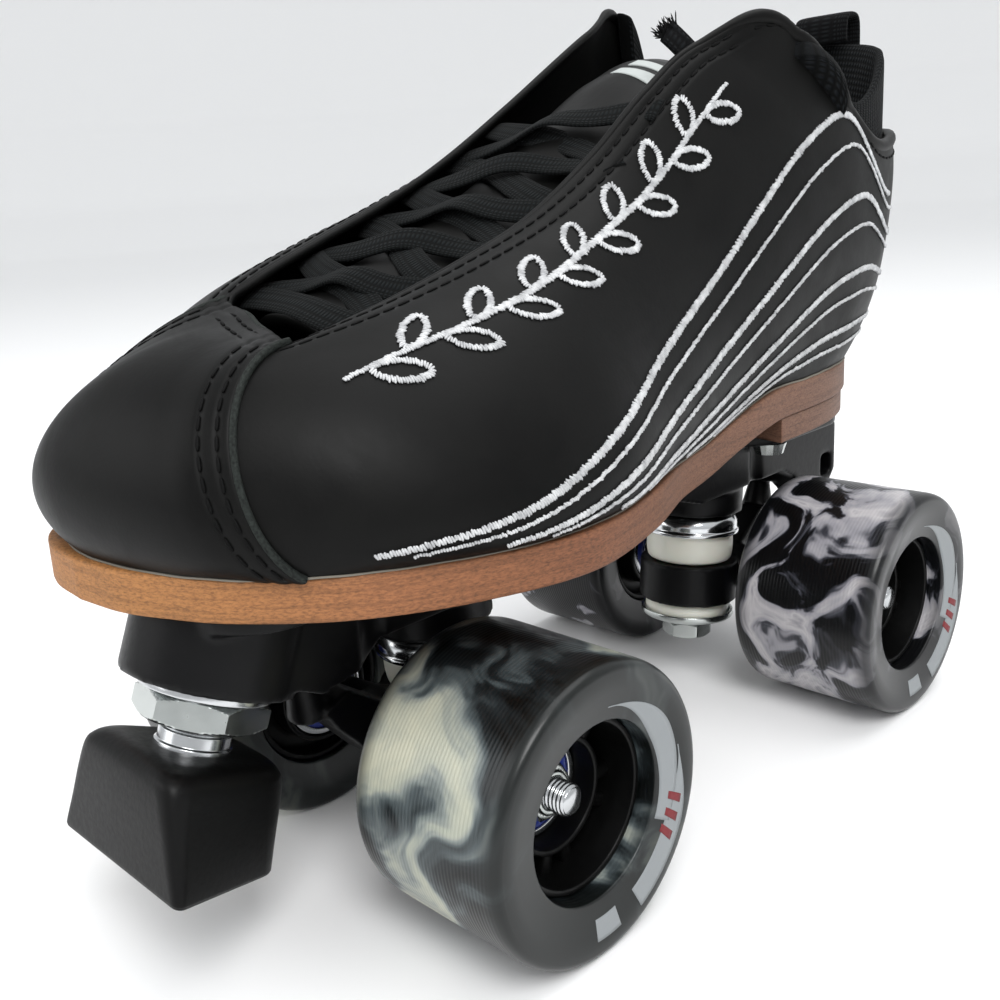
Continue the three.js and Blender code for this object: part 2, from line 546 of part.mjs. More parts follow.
/** One truck's seats on the plate: the kingpin boss and the pivot housing, and what is bored in them. */
function truckSeat(turn) {
  const boss = placeOnKingpin(rod([0, 0, UPPER_CUP_TOP + GAP], [0, 0, 34], 15, 15, 40)).rotateZ(turn);
  const pinHole = placeOnKingpin(
    rod([0, 0, 0], [0, 0, KINGPIN_HEAD + GAP], KINGPIN_RADIUS + GAP)).rotateZ(turn);
  const housing = rod(onPivot(-PIVOT_CUP_MOUTH), onPivot(18),
    PIVOT_HOUSING_RADIUS, PIVOT_HOUSING_RADIUS, 32).rotateZ(turn);
  const socket = rod(onPivot(-20), onPivot(PIVOT_CUP_LENGTH - PIVOT_CUP_MOUTH + GAP),
    PIVOT_CUP_RADIUS + GAP).rotateZ(turn);
  return { solids: [boss, housing], holes: [pinHole, socket] };
}

function buildPlate() {
  const spine = sideProfile([
    [112, PLATE_TOP], [TAIL_END + 6, PLATE_TOP], [TAIL_END, PLATE_TOP - 8], [TAIL_END, 54],
    [TAIL_END + 3, 50.5], [TAIL_END + 8, 49.5], [-91, 50], [-86, 57], [-80, PLATE_BOTTOM],
    [-36, PLATE_BOTTOM], [-20, PLATE_ARCH], [20, PLATE_ARCH], [36, PLATE_BOTTOM], [80, PLATE_BOTTOM],
    [86, 55], [98, 53], [112, 60],
  ], SPINE_HALF_WIDTH);
  const nose = placeOnStop(rod([0, 0, -30], [0, 0, 0], NOSE_RADIUS, NOSE_RADIUS, 56));
  const seats = [truckSeat(0), truckSeat(Math.PI)];
  const body = join(
    spine, nose, flange(56, 122, FRONT_FLANGE_HALF_WIDTH), flange(-104, -50, REAR_FLANGE_HALF_WIDTH),
    ...seats.flatMap((seat) => seat.solids),
  );
  const stemBore = placeOnStop(rod([0, 0, -STEM_IN_PLATE - STOP_TRAVEL - GAP], [0, 0, 5],
    STOP_STEM_RADIUS + GAP));
  const boltHoles = boltPlaces.map(([x, y]) =>
    rod([x, y, 0], [x, y, 100], BOLT_RADIUS + GAP, BOLT_RADIUS + GAP, 12));
  const boltWells = boltPlaces.map(([x, y]) =>
    rod([x, y, 40], [x, y, PLATE_TOP - FLANGE_THICKNESS],
      BOLT_HEAD_RADIUS + 0.5, BOLT_HEAD_RADIUS + 0.5, 16));
  const slot = box(TAIL_SLOT.back, TAIL_SLOT.front, -40, 40, TAIL_SLOT.bottom, TAIL_SLOT.top);
  const above = box(-200, 200, -60, 60, PLATE_TOP, PLATE_TOP + 60);
  const below = placeOnStop(rod([0, 0, 0], [0, 0, 40], NOSE_RADIUS));
  const arches = [-1, 1].flatMap((end) => [-1, 1].map((side) => rod(
    [end * WHEEL_BASE / 2, side * (TRACK - WHEEL_WIDTH - ARCH_CLEARANCE) / 2, AXLE_Z],
    [end * WHEEL_BASE / 2, side * TRACK, AXLE_Z], WHEEL_RADIUS + ARCH_CLEARANCE)));
  const plate = cut(body, above, below, stemBore, slot, ...arches, ...boltHoles, ...boltWells,
    ...seats.flatMap((s) => s.holes));
  addNode('plate', plate, NYLON_BLACK);

  const headTop = PLATE_TOP - FLANGE_THICKNESS - GAP;
  boltPlaces.forEach(([x, y], i) => {
    const tip = (i < 2 ? SOLE_BOTTOM : SOLE_BOTTOM + HEEL_HEIGHT) + BOLT_GRIP;
    const bolt = join(
      rod([x, y, headTop - BOLT_HEAD_HEIGHT], [x, y, headTop], BOLT_HEAD_RADIUS - 1, BOLT_HEAD_RADIUS, 16),
      rod([x, y, headTop - 1], [x, y, tip], BOLT_RADIUS, BOLT_RADIUS, 12),
    );
    addNode(`mounting_bolt_${['front_left', 'front_right', 'rear_left', 'rear_right'][i]}`, bolt, ZINC);
  });
}

// ---------------------------------------------------------------- sole
/** Height of the sole's underside over its length: flat under the ball, raised at the heel. */
function soleUnderside(x) {
  const t = THREE.MathUtils.smoothstep(-x, -HEEL_RISE.front, -HEEL_RISE.back);
  return SOLE_BOTTOM + HEEL_HEIGHT * t;
}

const asCurve = (points) => new THREE.CatmullRomCurve3(points.map(([x, y]) => new THREE.Vector3(x, y, 0)),
  false, 'centripetal');

/** A slab that follows the sole: pairs of points down the two sides, drawn in by an inset. */
function soleSlab(count, inset, bottom, top, from = 0) {
  const [outer, inner] = [asCurve(SOLE_OUTER), asCurve(SOLE_INNER)];
  const middle = new THREE.Vector2((SOLE_OUTER[0][0] + SOLE_OUTER.at(-1)[0]) / 2, 0);
  const half = (SOLE_OUTER[0][0] - SOLE_OUTER.at(-1)[0]) / 2;
  const pull = (p, width) => new THREE.Vector2(
    middle.x + (p.x - middle.x) * (1 - inset / half),
    p.y - Math.sign(width) * Math.min(inset, Math.abs(width) / 2),
  );
  const sections = steps(from, 1, count).map((u) => {
    const [a, b] = [outer.getPoint(u), inner.getPoint(u)];
    const width = a.y - b.y;
    return [pull(a, width), pull(b, -width)];
  });
  const at = (p, height) => new THREE.Vector3(p.x, p.y, height(p.x));
  const upper = sections.map((pair) => pair.map((p) => at(p, top)));
  const lower = sections.map((pair) => pair.map((p) => at(p, bottom)));
  return shell(upper, lower);
}

function buildSole() {
  const under = soleUnderside;
  const boltHoles = boltPlaces.map(([x, y]) => rod([x, y, 0],
    [x, y, under(x) + BOLT_GRIP + GAP], BOLT_RADIUS + GAP, BOLT_RADIUS + GAP, 12));
  const outsole = toManifold(soleSlab(34, 0, under, (x) => under(x) + SOLE_THICKNESS));
  addNode('outsole', cut(outsole, ...boltHoles), SOLE_LEATHER);

  const lift = toManifold(soleSlab(34, 0.8, () => SOLE_BOTTOM, (x) => under(x) - GAP));
  const breast = box(HEEL_BREAST, 200, -80, 80, 0, 200);
  addNode('heel_lift', cut(lift, breast, ...boltHoles), SOLE_LEATHER);

  const footbed = soleSlab(24, LEATHER + 4.5, (x) => under(x) + SOLE_THICKNESS + 2 * GAP,
    (x) => under(x) + SOLE_THICKNESS + 2 * GAP + FOOTBED_THICKNESS);
  addNode('footbed', footbed, MESH_BLACK);
}

// ---------------------------------------------------------------- upper
const soleTop = (x) => soleUnderside(x) + SOLE_THICKNESS;
const upperCurves = [0, 1, 2, 3].map((k) => new THREE.CatmullRomCurve3(
  UPPER.map((row) => new THREE.Vector3(...row[k], ...(k === 0 ? [soleTop(row[k][0])] : []))),
  true, 'catmullrom', 0.5,
));

/** Cubic through four values at 0, 1/3, 2/3 and 1. */
function throughFour(points, v) {
  const weights = [
    (1 - 3 * v) * (2 - 3 * v) * (1 - v) / 2,
    9 * v * (1 - v) * (2 - 3 * v) / 2,
    9 * v * (3 * v - 1) * (1 - v) / 2,
    v * (3 * v - 1) * (3 * v - 2) / 2,
  ];
  return points.reduce((sum, p, i) => sum.addScaledVector(p, weights[i]), new THREE.Vector3());
}

/** A point on the boot's skin: row counts along the UPPER table, v runs from the sole to the rim. */
function skin(row, v) {
  const t = ((row / UPPER.length) % 1 + 1) % 1;
  return throughFour(upperCurves.map((curve) => curve.getPoint(t)), v);
}

/** The skin moved inwards along its normal. */
function skinInside(row, v, depth) {
  const step = 0.02;
  const along = skin(row + step, v).sub(skin(row - step, v));
  const [low, high] = [Math.max(0, v - step), Math.min(1, v + step)];
  const up = skin(row, high).sub(skin(row, low));
  return skin(row, v).addScaledVector(along.cross(up).normalize(), -depth);
}

/** A leather panel between two rows of the table. */
function panel(from, to, columns, rows) {
  const grid = (depth) => steps(0, 1, rows).map((v) => steps(from, to, columns)
    .map((row) => (depth ? skinInside(row, v, depth) : skin(row, v))));
  const faces = [grid(0), grid(LEATHER)];
  faces.forEach((face) => face[0].forEach((p) => { p.z = soleTop(p.x) + GAP; }));
  return shell(...faces);
}

/** How far the padding stands above the leather's rim, by row: nothing in front, most at the back. */
function collarRise(row) {
  const spread = (row - BACK_SEAM) / 2;
  return 1 + (COLLAR_BACK_RISE - 1) * Math.exp(-(spread ** 4));
}

/** The padded lining round the ankle, with its top roll above the leather at the back. */
function collarShape() {
  const rowsAround = steps(OUTER_EYESTAY_TOP + 1.3, INNER_EYESTAY_TOP - 1.2, 26);
  const level = (row, w, depth) => {
    if (w <= 0.6) return skinInside(row, 0.62 + 0.38 * w / 0.6, depth);
    const rim = skinInside(row, 1, depth);
    return rim.add(new THREE.Vector3(0, 0, collarRise(row) * (w - 0.6) / 0.4));
  };
  const depthOut = LEATHER + COLLAR_CLEARANCE;
  const heights = [0, 0.2, 0.4, 0.6, 0.8, 1];
  const outer = heights.map((w) => rowsAround.map((row) => level(row, w, depthOut)));
  const inner = heights.map((w) => rowsAround.map((row) => level(row, w,
    depthOut + COLLAR_PADDING * (w === 0 ? 0.5 : w === 1 ? 0.7 : 1))));
  return shell(outer, inner);
}

/** Loop of webbing sewn to the back of the collar, to pull the boot on by. */
function pullLoopShape() {
  const back = skinInside(BACK_SEAM, 1, LEATHER);
  const [width, thickness, reach] = [18, 1.6, 9];
  const top = back.z + COLLAR_BACK_RISE;
  const x = back.x - GAP - thickness;
  const outerLoop = sideProfile([
    [x, top - 20], [x, top + reach - 3], [x + 2, top + reach], [x + 8, top + reach], [x + 10, top + reach - 3],
    [x + 10, top + 1.2], [x + 10 - thickness, top + 1.2], [x + 10 - thickness, top + reach - 3.4],
    [x + 7.2, top + reach - thickness], [x + 2.8, top + reach - thickness], [x + thickness, top + reach - 3.4],
    [x + thickness, top - 20],
  ], width / 2);
  return outerLoop;
}

/** Height of the two eyestay edges over the instep, at a place along the foot. */
const edgeCurve = (from, to) => steps(from, to, 24).map((row) => skin(row, 1));
const outerEdge = edgeCurve(OUTER_SEAM, OUTER_EYESTAY_TOP);
const innerEdge = edgeCurve(INNER_SEAM, INNER_EYESTAY_TOP);
function edgeAt(edge, x) {
  const i = Math.max(1, edge.findIndex((p) => p.x <= x));
  const [a, b] = edge[i - 1].x <= x ? [edge[0], edge[1]] : [edge[i - 1], edge[i]];
  return a.clone().lerp(b, (x - a.x) / (b.x - a.x));
}

/** Top face of the tongue: crowned across, and tipped with the two eyestay edges. */
function tonguePoint(x, y, depth) {
  const [a, b] = [edgeAt(outerEdge, x), edgeAt(innerEdge, x)];
  const tip = (a.z - b.z) / (a.y - b.y);
  const z = (a.z + b.z) / 2 - 3.3 - 11 * (y / 26) ** 2 + tip * (y - (a.y + b.y) / 2);
  return new THREE.Vector3(x - depth * 0.55, y, z - depth * 0.83);
}

function tongueShape() {
  const along = steps(84, -40, 14);
  const across = steps(-22, 22, 6);
  const sheet = (depth) => along.map((x) => across.map((y) => {
    const narrowing = 0.72 + 0.28 * THREE.MathUtils.smoothstep(84 - x, 0, 60);
    return tonguePoint(x, y * narrowing, depth);
  }));
  return shell(sheet(0), sheet(TONGUE_THICKNESS));
}

// ---------------------------------------------------------------- lace
const LACE_ROWS = [80, 62, 44, 27, 12, -4];  // where each row of the lacing crosses the tongue

/** One lace: down from the outer top, zigzag to the toe, straight across, and zigzag back up. */
function laceRoute() {
  const loop = (k, side) => {
    const edge = edgeAt(side > 0 ? outerEdge : innerEdge, LACE_ROWS[k]);
    return new THREE.Vector3(LACE_ROWS[k], edge.y - side * 1.4, edge.z - LEATHER - 3);
  };
  const over = (k, height) => {
    const x = (LACE_ROWS[k] + LACE_ROWS[k + 1]) / 2;
    const p = tonguePoint(x, 0, 0);
    return p.add(new THREE.Vector3(0.5 * height, 0, 0.83 * height));
  };
  const points = [];
  let side = 1;
  for (let k = LACE_ROWS.length - 1; k > 0; k--) {
    points.push(loop(k, side), over(k - 1, 3));
    side = -side;
  }
  points.push(loop(0, side));
  const bar = tonguePoint(LACE_ROWS[0], 0, 0);
  points.push(bar.add(new THREE.Vector3(0, 0, 3.4)));
  side = -side;
  for (let k = 0; k < LACE_ROWS.length - 1; k++) {
    points.push(loop(k, side), over(k, 6.6));
    side = -side;
  }
  points.push(loop(LACE_ROWS.length - 1, side));
  return points;
}

function laceShape() {
  const section = new THREE.Shape();
  section.absarc(0, 0, LACE_RADIUS, 0, 2 * Math.PI, false);
  const path = new THREE.CatmullRomCurve3(laceRoute(), false, 'centripetal');
  return new THREE.ExtrudeGeometry(section,
    { steps: 60, curveSegments: 4, bevelEnabled: false, extrudePath: path });
}

function buildBoot() {
  const seamGap = 0.018;
  const rowsRound = UPPER.length;
  addNode('toe_cap', panel(INNER_SEAM - rowsRound + seamGap, OUTER_SEAM - seamGap, 12, 7), LEATHER_BLACK);
  addNode('quarter_outer', panel(OUTER_SEAM + seamGap, BACK_SEAM - seamGap, 22, 7), LEATHER_BLACK);
  addNode('quarter_inner', panel(BACK_SEAM + seamGap, INNER_SEAM - seamGap, 20, 7), LEATHER_BLACK);
  addNode('collar_padding', collarShape(), MESH_BLACK);
  addNode('pull_loop', pullLoopShape(), LACE_BLACK);
  addNode('tongue', tongueShape(), LEATHER_BLACK);
  addNode('lace', laceShape(), LACE_BLACK);
}

buildSole();
buildBoot();
buildPlate();
buildTruck('front', 0, URETHANE_FRONT);
buildTruck('rear', Math.PI, URETHANE_REAR);
buildToeStop();

export default skate;
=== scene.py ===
import math

import bmesh
import bpy
import numpy as np
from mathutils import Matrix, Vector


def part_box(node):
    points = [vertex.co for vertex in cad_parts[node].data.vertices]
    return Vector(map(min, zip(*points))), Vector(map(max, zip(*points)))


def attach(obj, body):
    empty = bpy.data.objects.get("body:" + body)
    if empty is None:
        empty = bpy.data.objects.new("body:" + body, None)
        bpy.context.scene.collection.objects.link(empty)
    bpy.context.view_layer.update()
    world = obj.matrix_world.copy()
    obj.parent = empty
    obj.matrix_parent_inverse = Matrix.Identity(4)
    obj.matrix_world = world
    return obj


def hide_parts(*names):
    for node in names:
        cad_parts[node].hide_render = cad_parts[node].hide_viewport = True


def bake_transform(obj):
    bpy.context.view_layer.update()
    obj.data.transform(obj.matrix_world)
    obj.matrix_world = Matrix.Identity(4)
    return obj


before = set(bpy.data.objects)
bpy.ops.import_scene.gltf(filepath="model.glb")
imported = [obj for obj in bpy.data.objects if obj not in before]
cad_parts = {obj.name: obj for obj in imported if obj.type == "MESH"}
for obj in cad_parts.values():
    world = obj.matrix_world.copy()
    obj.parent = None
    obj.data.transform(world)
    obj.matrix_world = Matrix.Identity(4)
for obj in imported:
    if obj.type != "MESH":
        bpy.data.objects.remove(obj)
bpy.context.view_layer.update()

# All shapes below are in millimetres with x = 0 midway between the axles and the ground at z = 0.
# piece() turns them into metres in the frame.
MM = 0.001
ENDS = ("front", "rear")
SIDES = ("left", "right")
rng = np.random.default_rng(11)


def centre(node):
    """Middle of a CAD node's box, in millimetres in the frame."""
    low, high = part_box(node)
    return (np.array(low) + np.array(high)) / 2 / MM


AXLE_FRONT, AXLE_REAR = centre("axle_front"), centre("axle_rear")
SHIFT = (AXLE_FRONT[0] + AXLE_REAR[0]) / 2
WHEEL_BASE = AXLE_FRONT[0] - AXLE_REAR[0]
AXLE_Z = AXLE_FRONT[2]
WHEEL_MIDDLE = centre("tyre_front_left")[1]
AXLE_X = {"front": WHEEL_BASE / 2, "rear": -WHEEL_BASE / 2}


# ------------------------------------------------------------------ points and faces
def unit(vectors):
    """Each vector divided by its length."""
    return vectors / np.maximum(np.linalg.norm(vectors, axis=-1, keepdims=True), 1e-12)


def smoothstep(t):
    """0 below 0, 1 above 1, and 3t^2 - 2t^3 between."""
    t = np.clip(t, 0, 1)
    return t * t * (3 - 2 * t)


def tile(grid, close_u=False, close_v=False, caps=False, uv=None):
    """Quads over a grid of points [u, v, xyz]; a closed direction joins its last line to its first.
    caps adds a fan at each end of u. uv gives the real size of the grid in millimetres."""
    nu, nv = grid.shape[:2]
    i, j = np.meshgrid(np.arange(nu - (not close_u)), np.arange(nv - (not close_v)), indexing="ij")
    ci = np.stack([i, i + 1, i + 1, i], -1).reshape(-1, 4)
    cj = np.stack([j, j, j + 1, j + 1], -1).reshape(-1, 4)
    faces = [(ci % nu) * nv + cj % nv]
    size = uv or (1, 1)
    corners = [np.stack([ci * size[0] / (nu - (not close_u)), cj * size[1] / (nv - (not close_v))],
                        -1).reshape(-1, 2)]
    points = grid.reshape(-1, 3)
    if caps:
        hubs = np.stack([grid[0].mean(0), grid[-1].mean(0)])
        ring = np.arange(nv)
        first = np.stack([np.full(nv, len(points)), (ring + 1) % nv, ring], -1)
        last = np.stack([np.full(nv, len(points) + 1), (nu - 1) * nv + ring,
                         (nu - 1) * nv + (ring + 1) % nv], -1)
        faces += [first, last]
        corners += [np.zeros((nv * 3, 2)), np.zeros((nv * 3, 2))]
        points = np.concatenate([points, hubs])
    return points, faces, np.concatenate(corners)


def merged(parts):
    """Several (points, faces, uv) parts as one."""
    points, faces, corners, start = [], [], [], 0
    for part_points, part_faces, part_uv in parts:
        points.append(part_points)
        faces += [f + start for f in part_faces]
        corners.append(part_uv)
        start += len(part_points)
    return np.concatenate(points), faces, np.concatenate(corners)


def shell(outer, inner, uv=None):
    """A sheet with thickness: two grids of points, joined round their four edges."""
    ring = np.concatenate([outer, inner[:, ::-1]], 1)
    points, faces, corners = tile(ring, close_v=True, uv=uv)
    nv, count = outer.shape[1], ring.shape[1]
    j = np.arange(nv - 1)
    end = np.stack([j, j + 1, count - 2 - j, count - 1 - j], -1)
    last = end[:, ::-1] + (len(outer) - 1) * count
    return points, faces + [end, last], np.concatenate([corners, np.zeros((8 * (nv - 1), 2))])


def lengths(path):
    """Length along a path up to each of its points."""
    return np.concatenate([[0], np.cumsum(np.linalg.norm(np.diff(path, axis=0), axis=1))])


def at_lengths(at, length, values):
    """Values known at a path's points, read off at other lengths along it."""
    return np.stack([np.interp(at, length, values[:, k]) for k in range(values.shape[1])], -1)


def frames(path, up, closed=False):
    """Unit tangent, side and up along a path; the up vectors are made square to the path."""
    if closed:
        tangent = unit(np.roll(path, -1, 0) - np.roll(path, 1, 0))
    else:
        tangent = unit(np.gradient(path, axis=0))
    side = unit(np.cross(tangent, np.broadcast_to(up, path.shape)))
    return tangent, side, np.cross(side, tangent)


def sweep(path, up, section, closed=False):
    """Grid of a closed section [side, up] carried along a path."""
    _, side, top = frames(path, up, closed)
    return path[:, None] + side[:, None] * section[None, :, :1] + top[:, None] * section[None, :, 1:]


def tube(grid, uv=None):
    """A grid of closed sections as one solid with both ends capped."""
    return tile(grid, close_v=True, caps=True, uv=uv)


def circle(radius, sides):
    """Points round a circle in the plane of a section."""
    angle = np.linspace(0, 2 * np.pi, sides, endpoint=False)
    return np.stack([np.cos(angle), np.sin(angle)], -1) * radius


def flat_section(width, thickness, power=4, sides=20):
    """A superellipse: a flat band with rounded edges."""
    angle = np.linspace(0, 2 * np.pi, sides, endpoint=False)
    c, s = np.cos(angle), np.sin(angle)
    return np.stack([np.sign(c) * np.abs(c) ** (2 / power) * width / 2,
                     np.sign(s) * np.abs(s) ** (2 / power) * thickness / 2], -1)


def rounded(corners, radius, steps=4):
    """A closed outline whose corners are quadratic curves that start a radius before each corner."""
    corners = np.asarray(corners, float)
    radii = np.broadcast_to(radius, len(corners))
    t = np.linspace(0, 1, steps)[:, None]
    out = []
    for k, p in enumerate(corners):
        before, after = corners[k - 1] - p, corners[(k + 1) % len(corners)] - p
        a = p + before * min(radii[k] / np.linalg.norm(before), 0.48)
        b = p + after * min(radii[k] / np.linalg.norm(after), 0.48)
        out.append((1 - t) ** 2 * a + 2 * t * (1 - t) * p + t ** 2 * b)
    return np.concatenate(out)


def catmull(points, t, closed=False):
    """Uniform Catmull-Rom through a list of points; t counts the points."""
    points = np.asarray(points, float)
    if not closed:
        points = np.concatenate([[2 * points[0] - points[1]], points, [2 * points[-1] - points[-2]]])
        t = np.clip(t, 0, len(points) - 3 - 1e-9) + 1
    i = np.floor(t).astype(int)
    f = (t - i)[..., None]
    p0, p1, p2, p3 = (points[(i + k) % len(points)] for k in (-1, 0, 1, 2))
    return 0.5 * (2 * p1 + (p2 - p0) * f + (2 * p0 - 5 * p1 + 4 * p2 - p3) * f ** 2
                  + (3 * p1 - p0 - 3 * p2 + p3) * f ** 3)


def smooth_path(points, count):
    """A Catmull-Rom curve through the points, sampled evenly by length."""
    fine = catmull(points, np.linspace(0, len(points) - 1, 20 * len(points)))
    length = lengths(fine)
    return at_lengths(np.linspace(0, length[-1], count), length, fine)


def turned(profile, origin, axis, sides=64):
    """Grid of a closed profile [radius, height] turned about an axis through origin."""
    axis = unit(np.array(axis, float))
    ahead = np.array([1.0, 0.0, 0.0])
    ahead = unit(ahead - axis * (ahead @ axis))
    across = np.cross(axis, ahead)
    angle = np.linspace(0, 2 * np.pi, sides, endpoint=False)[:, None, None]
    radius, height = np.asarray(profile, float)[None, :, :1], np.asarray(profile, float)[None, :, 1:]
    return (np.array(origin, float) + axis * height
            + (ahead * np.cos(angle) + across * np.sin(angle)) * radius)


# ------------------------------------------------------------------ objects
def piece(name, part, material, replaces=None, body="chassis"):
    """One object at the origin from (points, faces, uv), its faces turned outwards, riding on a body or on
    none."""
    points, faces, corners = part
    mesh = bpy.data.meshes.new(name)
    world = (points + [SHIFT, 0, 0]) * MM
    mesh.from_pydata(world.tolist(), [], [face for group in faces for face in group.tolist()])
    layer = mesh.uv_layers.new(name="surface")
    layer.data.foreach_set("uv", corners.astype(np.float32).ravel())
    work = bmesh.new()
    work.from_mesh(mesh)
    bmesh.ops.remove_doubles(work, verts=work.verts, dist=1e-7)
    bmesh.ops.recalc_face_normals(work, faces=work.faces)
    work.to_mesh(mesh)
    work.free()
    mesh.polygons.foreach_set("use_smooth", np.ones(len(mesh.polygons), bool))
    mesh.materials.append(material)
    obj = bpy.data.objects.new(name, mesh)
    bpy.context.scene.collection.objects.link(obj)
    if body:
        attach(obj, body)
    if replaces:
        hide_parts(replaces)
    return obj


def sharpen(obj, degrees):
    """Edges that turn by more than this stay crisp."""
    bpy.context.view_layer.objects.active = obj
    obj.select_set(True)
    bpy.ops.object.shade_smooth_by_angle(angle=math.radians(degrees))
    obj.select_set(False)


def apply_modifiers(obj):
    """Replaces the object's mesh by what its modifiers make of it."""
    depsgraph = bpy.context.evaluated_depsgraph_get()
    done = bpy.data.meshes.new_from_object(obj.evaluated_get(depsgraph))
    obj.modifiers.clear()
    obj.data = done


def vertices_of(obj):
    """The object's vertices as an array of points."""
    flat = np.empty(len(obj.data.vertices) * 3)
    obj.data.vertices.foreach_get("co", flat)
    return flat.reshape(-1, 3)


def moulded(name, node, voxel, rounds, body="chassis"):
    """A CAD solid as it leaves a mould: the same shape with every edge and inner corner rounded, by a voxel
    remesh of the given size in millimetres and so many rounds of smoothing."""
    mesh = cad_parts[node].data.copy()
    work = bmesh.new()
    work.from_mesh(mesh)
    bmesh.ops.remove_doubles(work, verts=work.verts, dist=1e-6)
    work.to_mesh(mesh)
    work.free()
    obj = bpy.data.objects.new(name, mesh)
    bpy.context.scene.collection.objects.link(obj)
    remesh = obj.modifiers.new("skin", "REMESH")
    remesh.mode = "VOXEL"
    remesh.voxel_size = voxel * MM
    relax = obj.modifiers.new("round", "SMOOTH")
    relax.factor = 0.5
    relax.iterations = rounds
    apply_modifiers(obj)
    obj.data.polygons.foreach_set("use_smooth", np.ones(len(obj.data.polygons), bool))
    obj.data.materials.clear()
    obj.data.materials.append(NYLON)
    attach(obj, body)
    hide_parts(node)


# ------------------------------------------------------------------ materials
def linear(hex_colour):
    """An sRGB hex colour as linear RGBA."""
    value = np.array([int(hex_colour[k:k + 2], 16) / 255 for k in (1, 3, 5)])
    value = np.where(value <= 0.04045, value / 12.92, ((value + 0.055) / 1.055) ** 2.4)
    return (*value.tolist(), 1.0)


def per_mm(size):
    """Texture scale whose pattern repeats every so many millimetres."""
    return 1 / (size * MM)


def add(tree, kind, inputs=(), stops=None, **settings):
    """Adds a node with its settings; inputs are (socket, value or output) pairs, stops a colour ramp's."""
    made = tree.nodes.new(kind)
    for key, value in settings.items():
        setattr(made, key, value)
    for socket, value in inputs:
        if isinstance(value, bpy.types.NodeSocket):
            tree.links.new(value, made.inputs[socket])
        else:
            made.inputs[socket].default_value = value
    if stops:
        elements = made.color_ramp.elements
        while len(elements) < len(stops):
            elements.new(0.5)
        for element, (position, colour) in zip(elements, stops):
            element.position = position
            element.color = linear(colour) if isinstance(colour, str) else (colour, colour, colour, 1)
    return made


def finish_of(name, colour, roughness, metallic=0.0, **sockets):
    """A new material with a Principled shader whose constants are set on its own sockets."""
    material = bpy.data.materials.new(name)
    material.use_nodes = True
    tree = material.node_tree
    shader = tree.nodes["Principled BSDF"]
    shader.inputs["Base Color"].default_value = linear(colour)
    shader.inputs["Roughness"].default_value = roughness
    shader.inputs["Metallic"].default_value = metallic
    for socket, value in sockets.items():
        shader.inputs[socket.replace("_", " ")].default_value = value
    return material, tree, shader


def object_coords(tree, scale=(1, 1, 1)):
    """Object coordinates in metres, stretched per axis."""
    coords = add(tree, "ShaderNodeTexCoord")
    return add(tree, "ShaderNodeMapping", [("Vector", coords.outputs["Object"]),
                                           ("Scale", scale)]).outputs[0]


def bump(tree, shader, height, depth_mm, strength=1.0, normal=None):
    """Feeds a height into the shader's normal; depth is in millimetres."""
    inputs = [("Height", height), ("Distance", depth_mm * MM), ("Strength", strength)]
    made = add(tree, "ShaderNodeBump", inputs + ([("Normal", normal)] if normal else []))
    tree.links.new(made.outputs[0], shader.inputs["Normal"])
    return made.outputs[0]


def smooth_leather():
    """Corrected-grain calf leather, dyed black: fine pores, soft creases, a broad waxy highlight."""
    material, tree, shader = finish_of("smooth_black_leather", "#0b0b0b", 0.44, Specular_IOR_Level=0.11)
    place = object_coords(tree)
    pores = add(tree, "ShaderNodeTexVoronoi", [("Vector", place), ("Scale", per_mm(0.9))], feature="F1")
    grain = add(tree, "ShaderNodeTexNoise", [("Vector", place), ("Scale", per_mm(0.7)), ("Detail", 4.0)])
    creases = add(tree, "ShaderNodeTexNoise", [("Vector", place), ("Scale", per_mm(14)), ("Detail", 5.0),
                                               ("Roughness", 0.6), ("Distortion", 0.6)])
    height = add(tree, "ShaderNodeMath", [(0, pores.outputs["Distance"]), (1, grain.outputs[0])],
                 operation="MULTIPLY")
    fine = bump(tree, shader, height.outputs[0], 0.05, 0.35)
    bump(tree, shader, creases.outputs[0], 0.5, 0.12, fine)
    gloss = add(tree, "ShaderNodeMapRange", [("Value", creases.outputs[0]), ("From Min", 0.3),
                                             ("From Max", 0.7), ("To Min", 0.38), ("To Max", 0.52)])
    tree.links.new(gloss.outputs[0], shader.inputs["Roughness"])
    tint = add(tree, "ShaderNodeValToRGB", [("Fac", creases.outputs[0])],
               stops=[(0.25, "#050505"), (0.8, "#0d0d0c")])
    tree.links.new(tint.outputs[0], shader.inputs["Base Color"])
    return material


def cut_edge_leather():
    """The raw, greyer cut edge of the black leather: fibres catch the light."""
    material, tree, shader = finish_of("leather_cut_edge", "#151716", 0.8, Specular_IOR_Level=0.2)
    fibre = add(tree, "ShaderNodeTexNoise", [("Vector", object_coords(tree)), ("Scale", per_mm(0.5)),
                                             ("Detail", 5.0)])
    tint = add(tree, "ShaderNodeValToRGB", [("Fac", fibre.outputs[0])],
               stops=[(0.3, "#0b0d0c"), (0.75, "#2b302d")])
    tree.links.new(tint.outputs[0], shader.inputs["Base Color"])
    bump(tree, shader, fibre.outputs[0], 0.2, 0.6)
    return material


def black_thread():
    """Twisted, waxed polyester thread: dull black, a little darker than the leather it holds."""
    material, tree, shader = finish_of("black_stitch_thread", "#030303", 0.7, Specular_IOR_Level=0.12)
    twist = add(tree, "ShaderNodeTexNoise", [("Vector", object_coords(tree)), ("Scale", per_mm(0.35)),
                                             ("Detail", 2.0)])
    bump(tree, shader, twist.outputs[0], 0.08, 0.5)
    return material


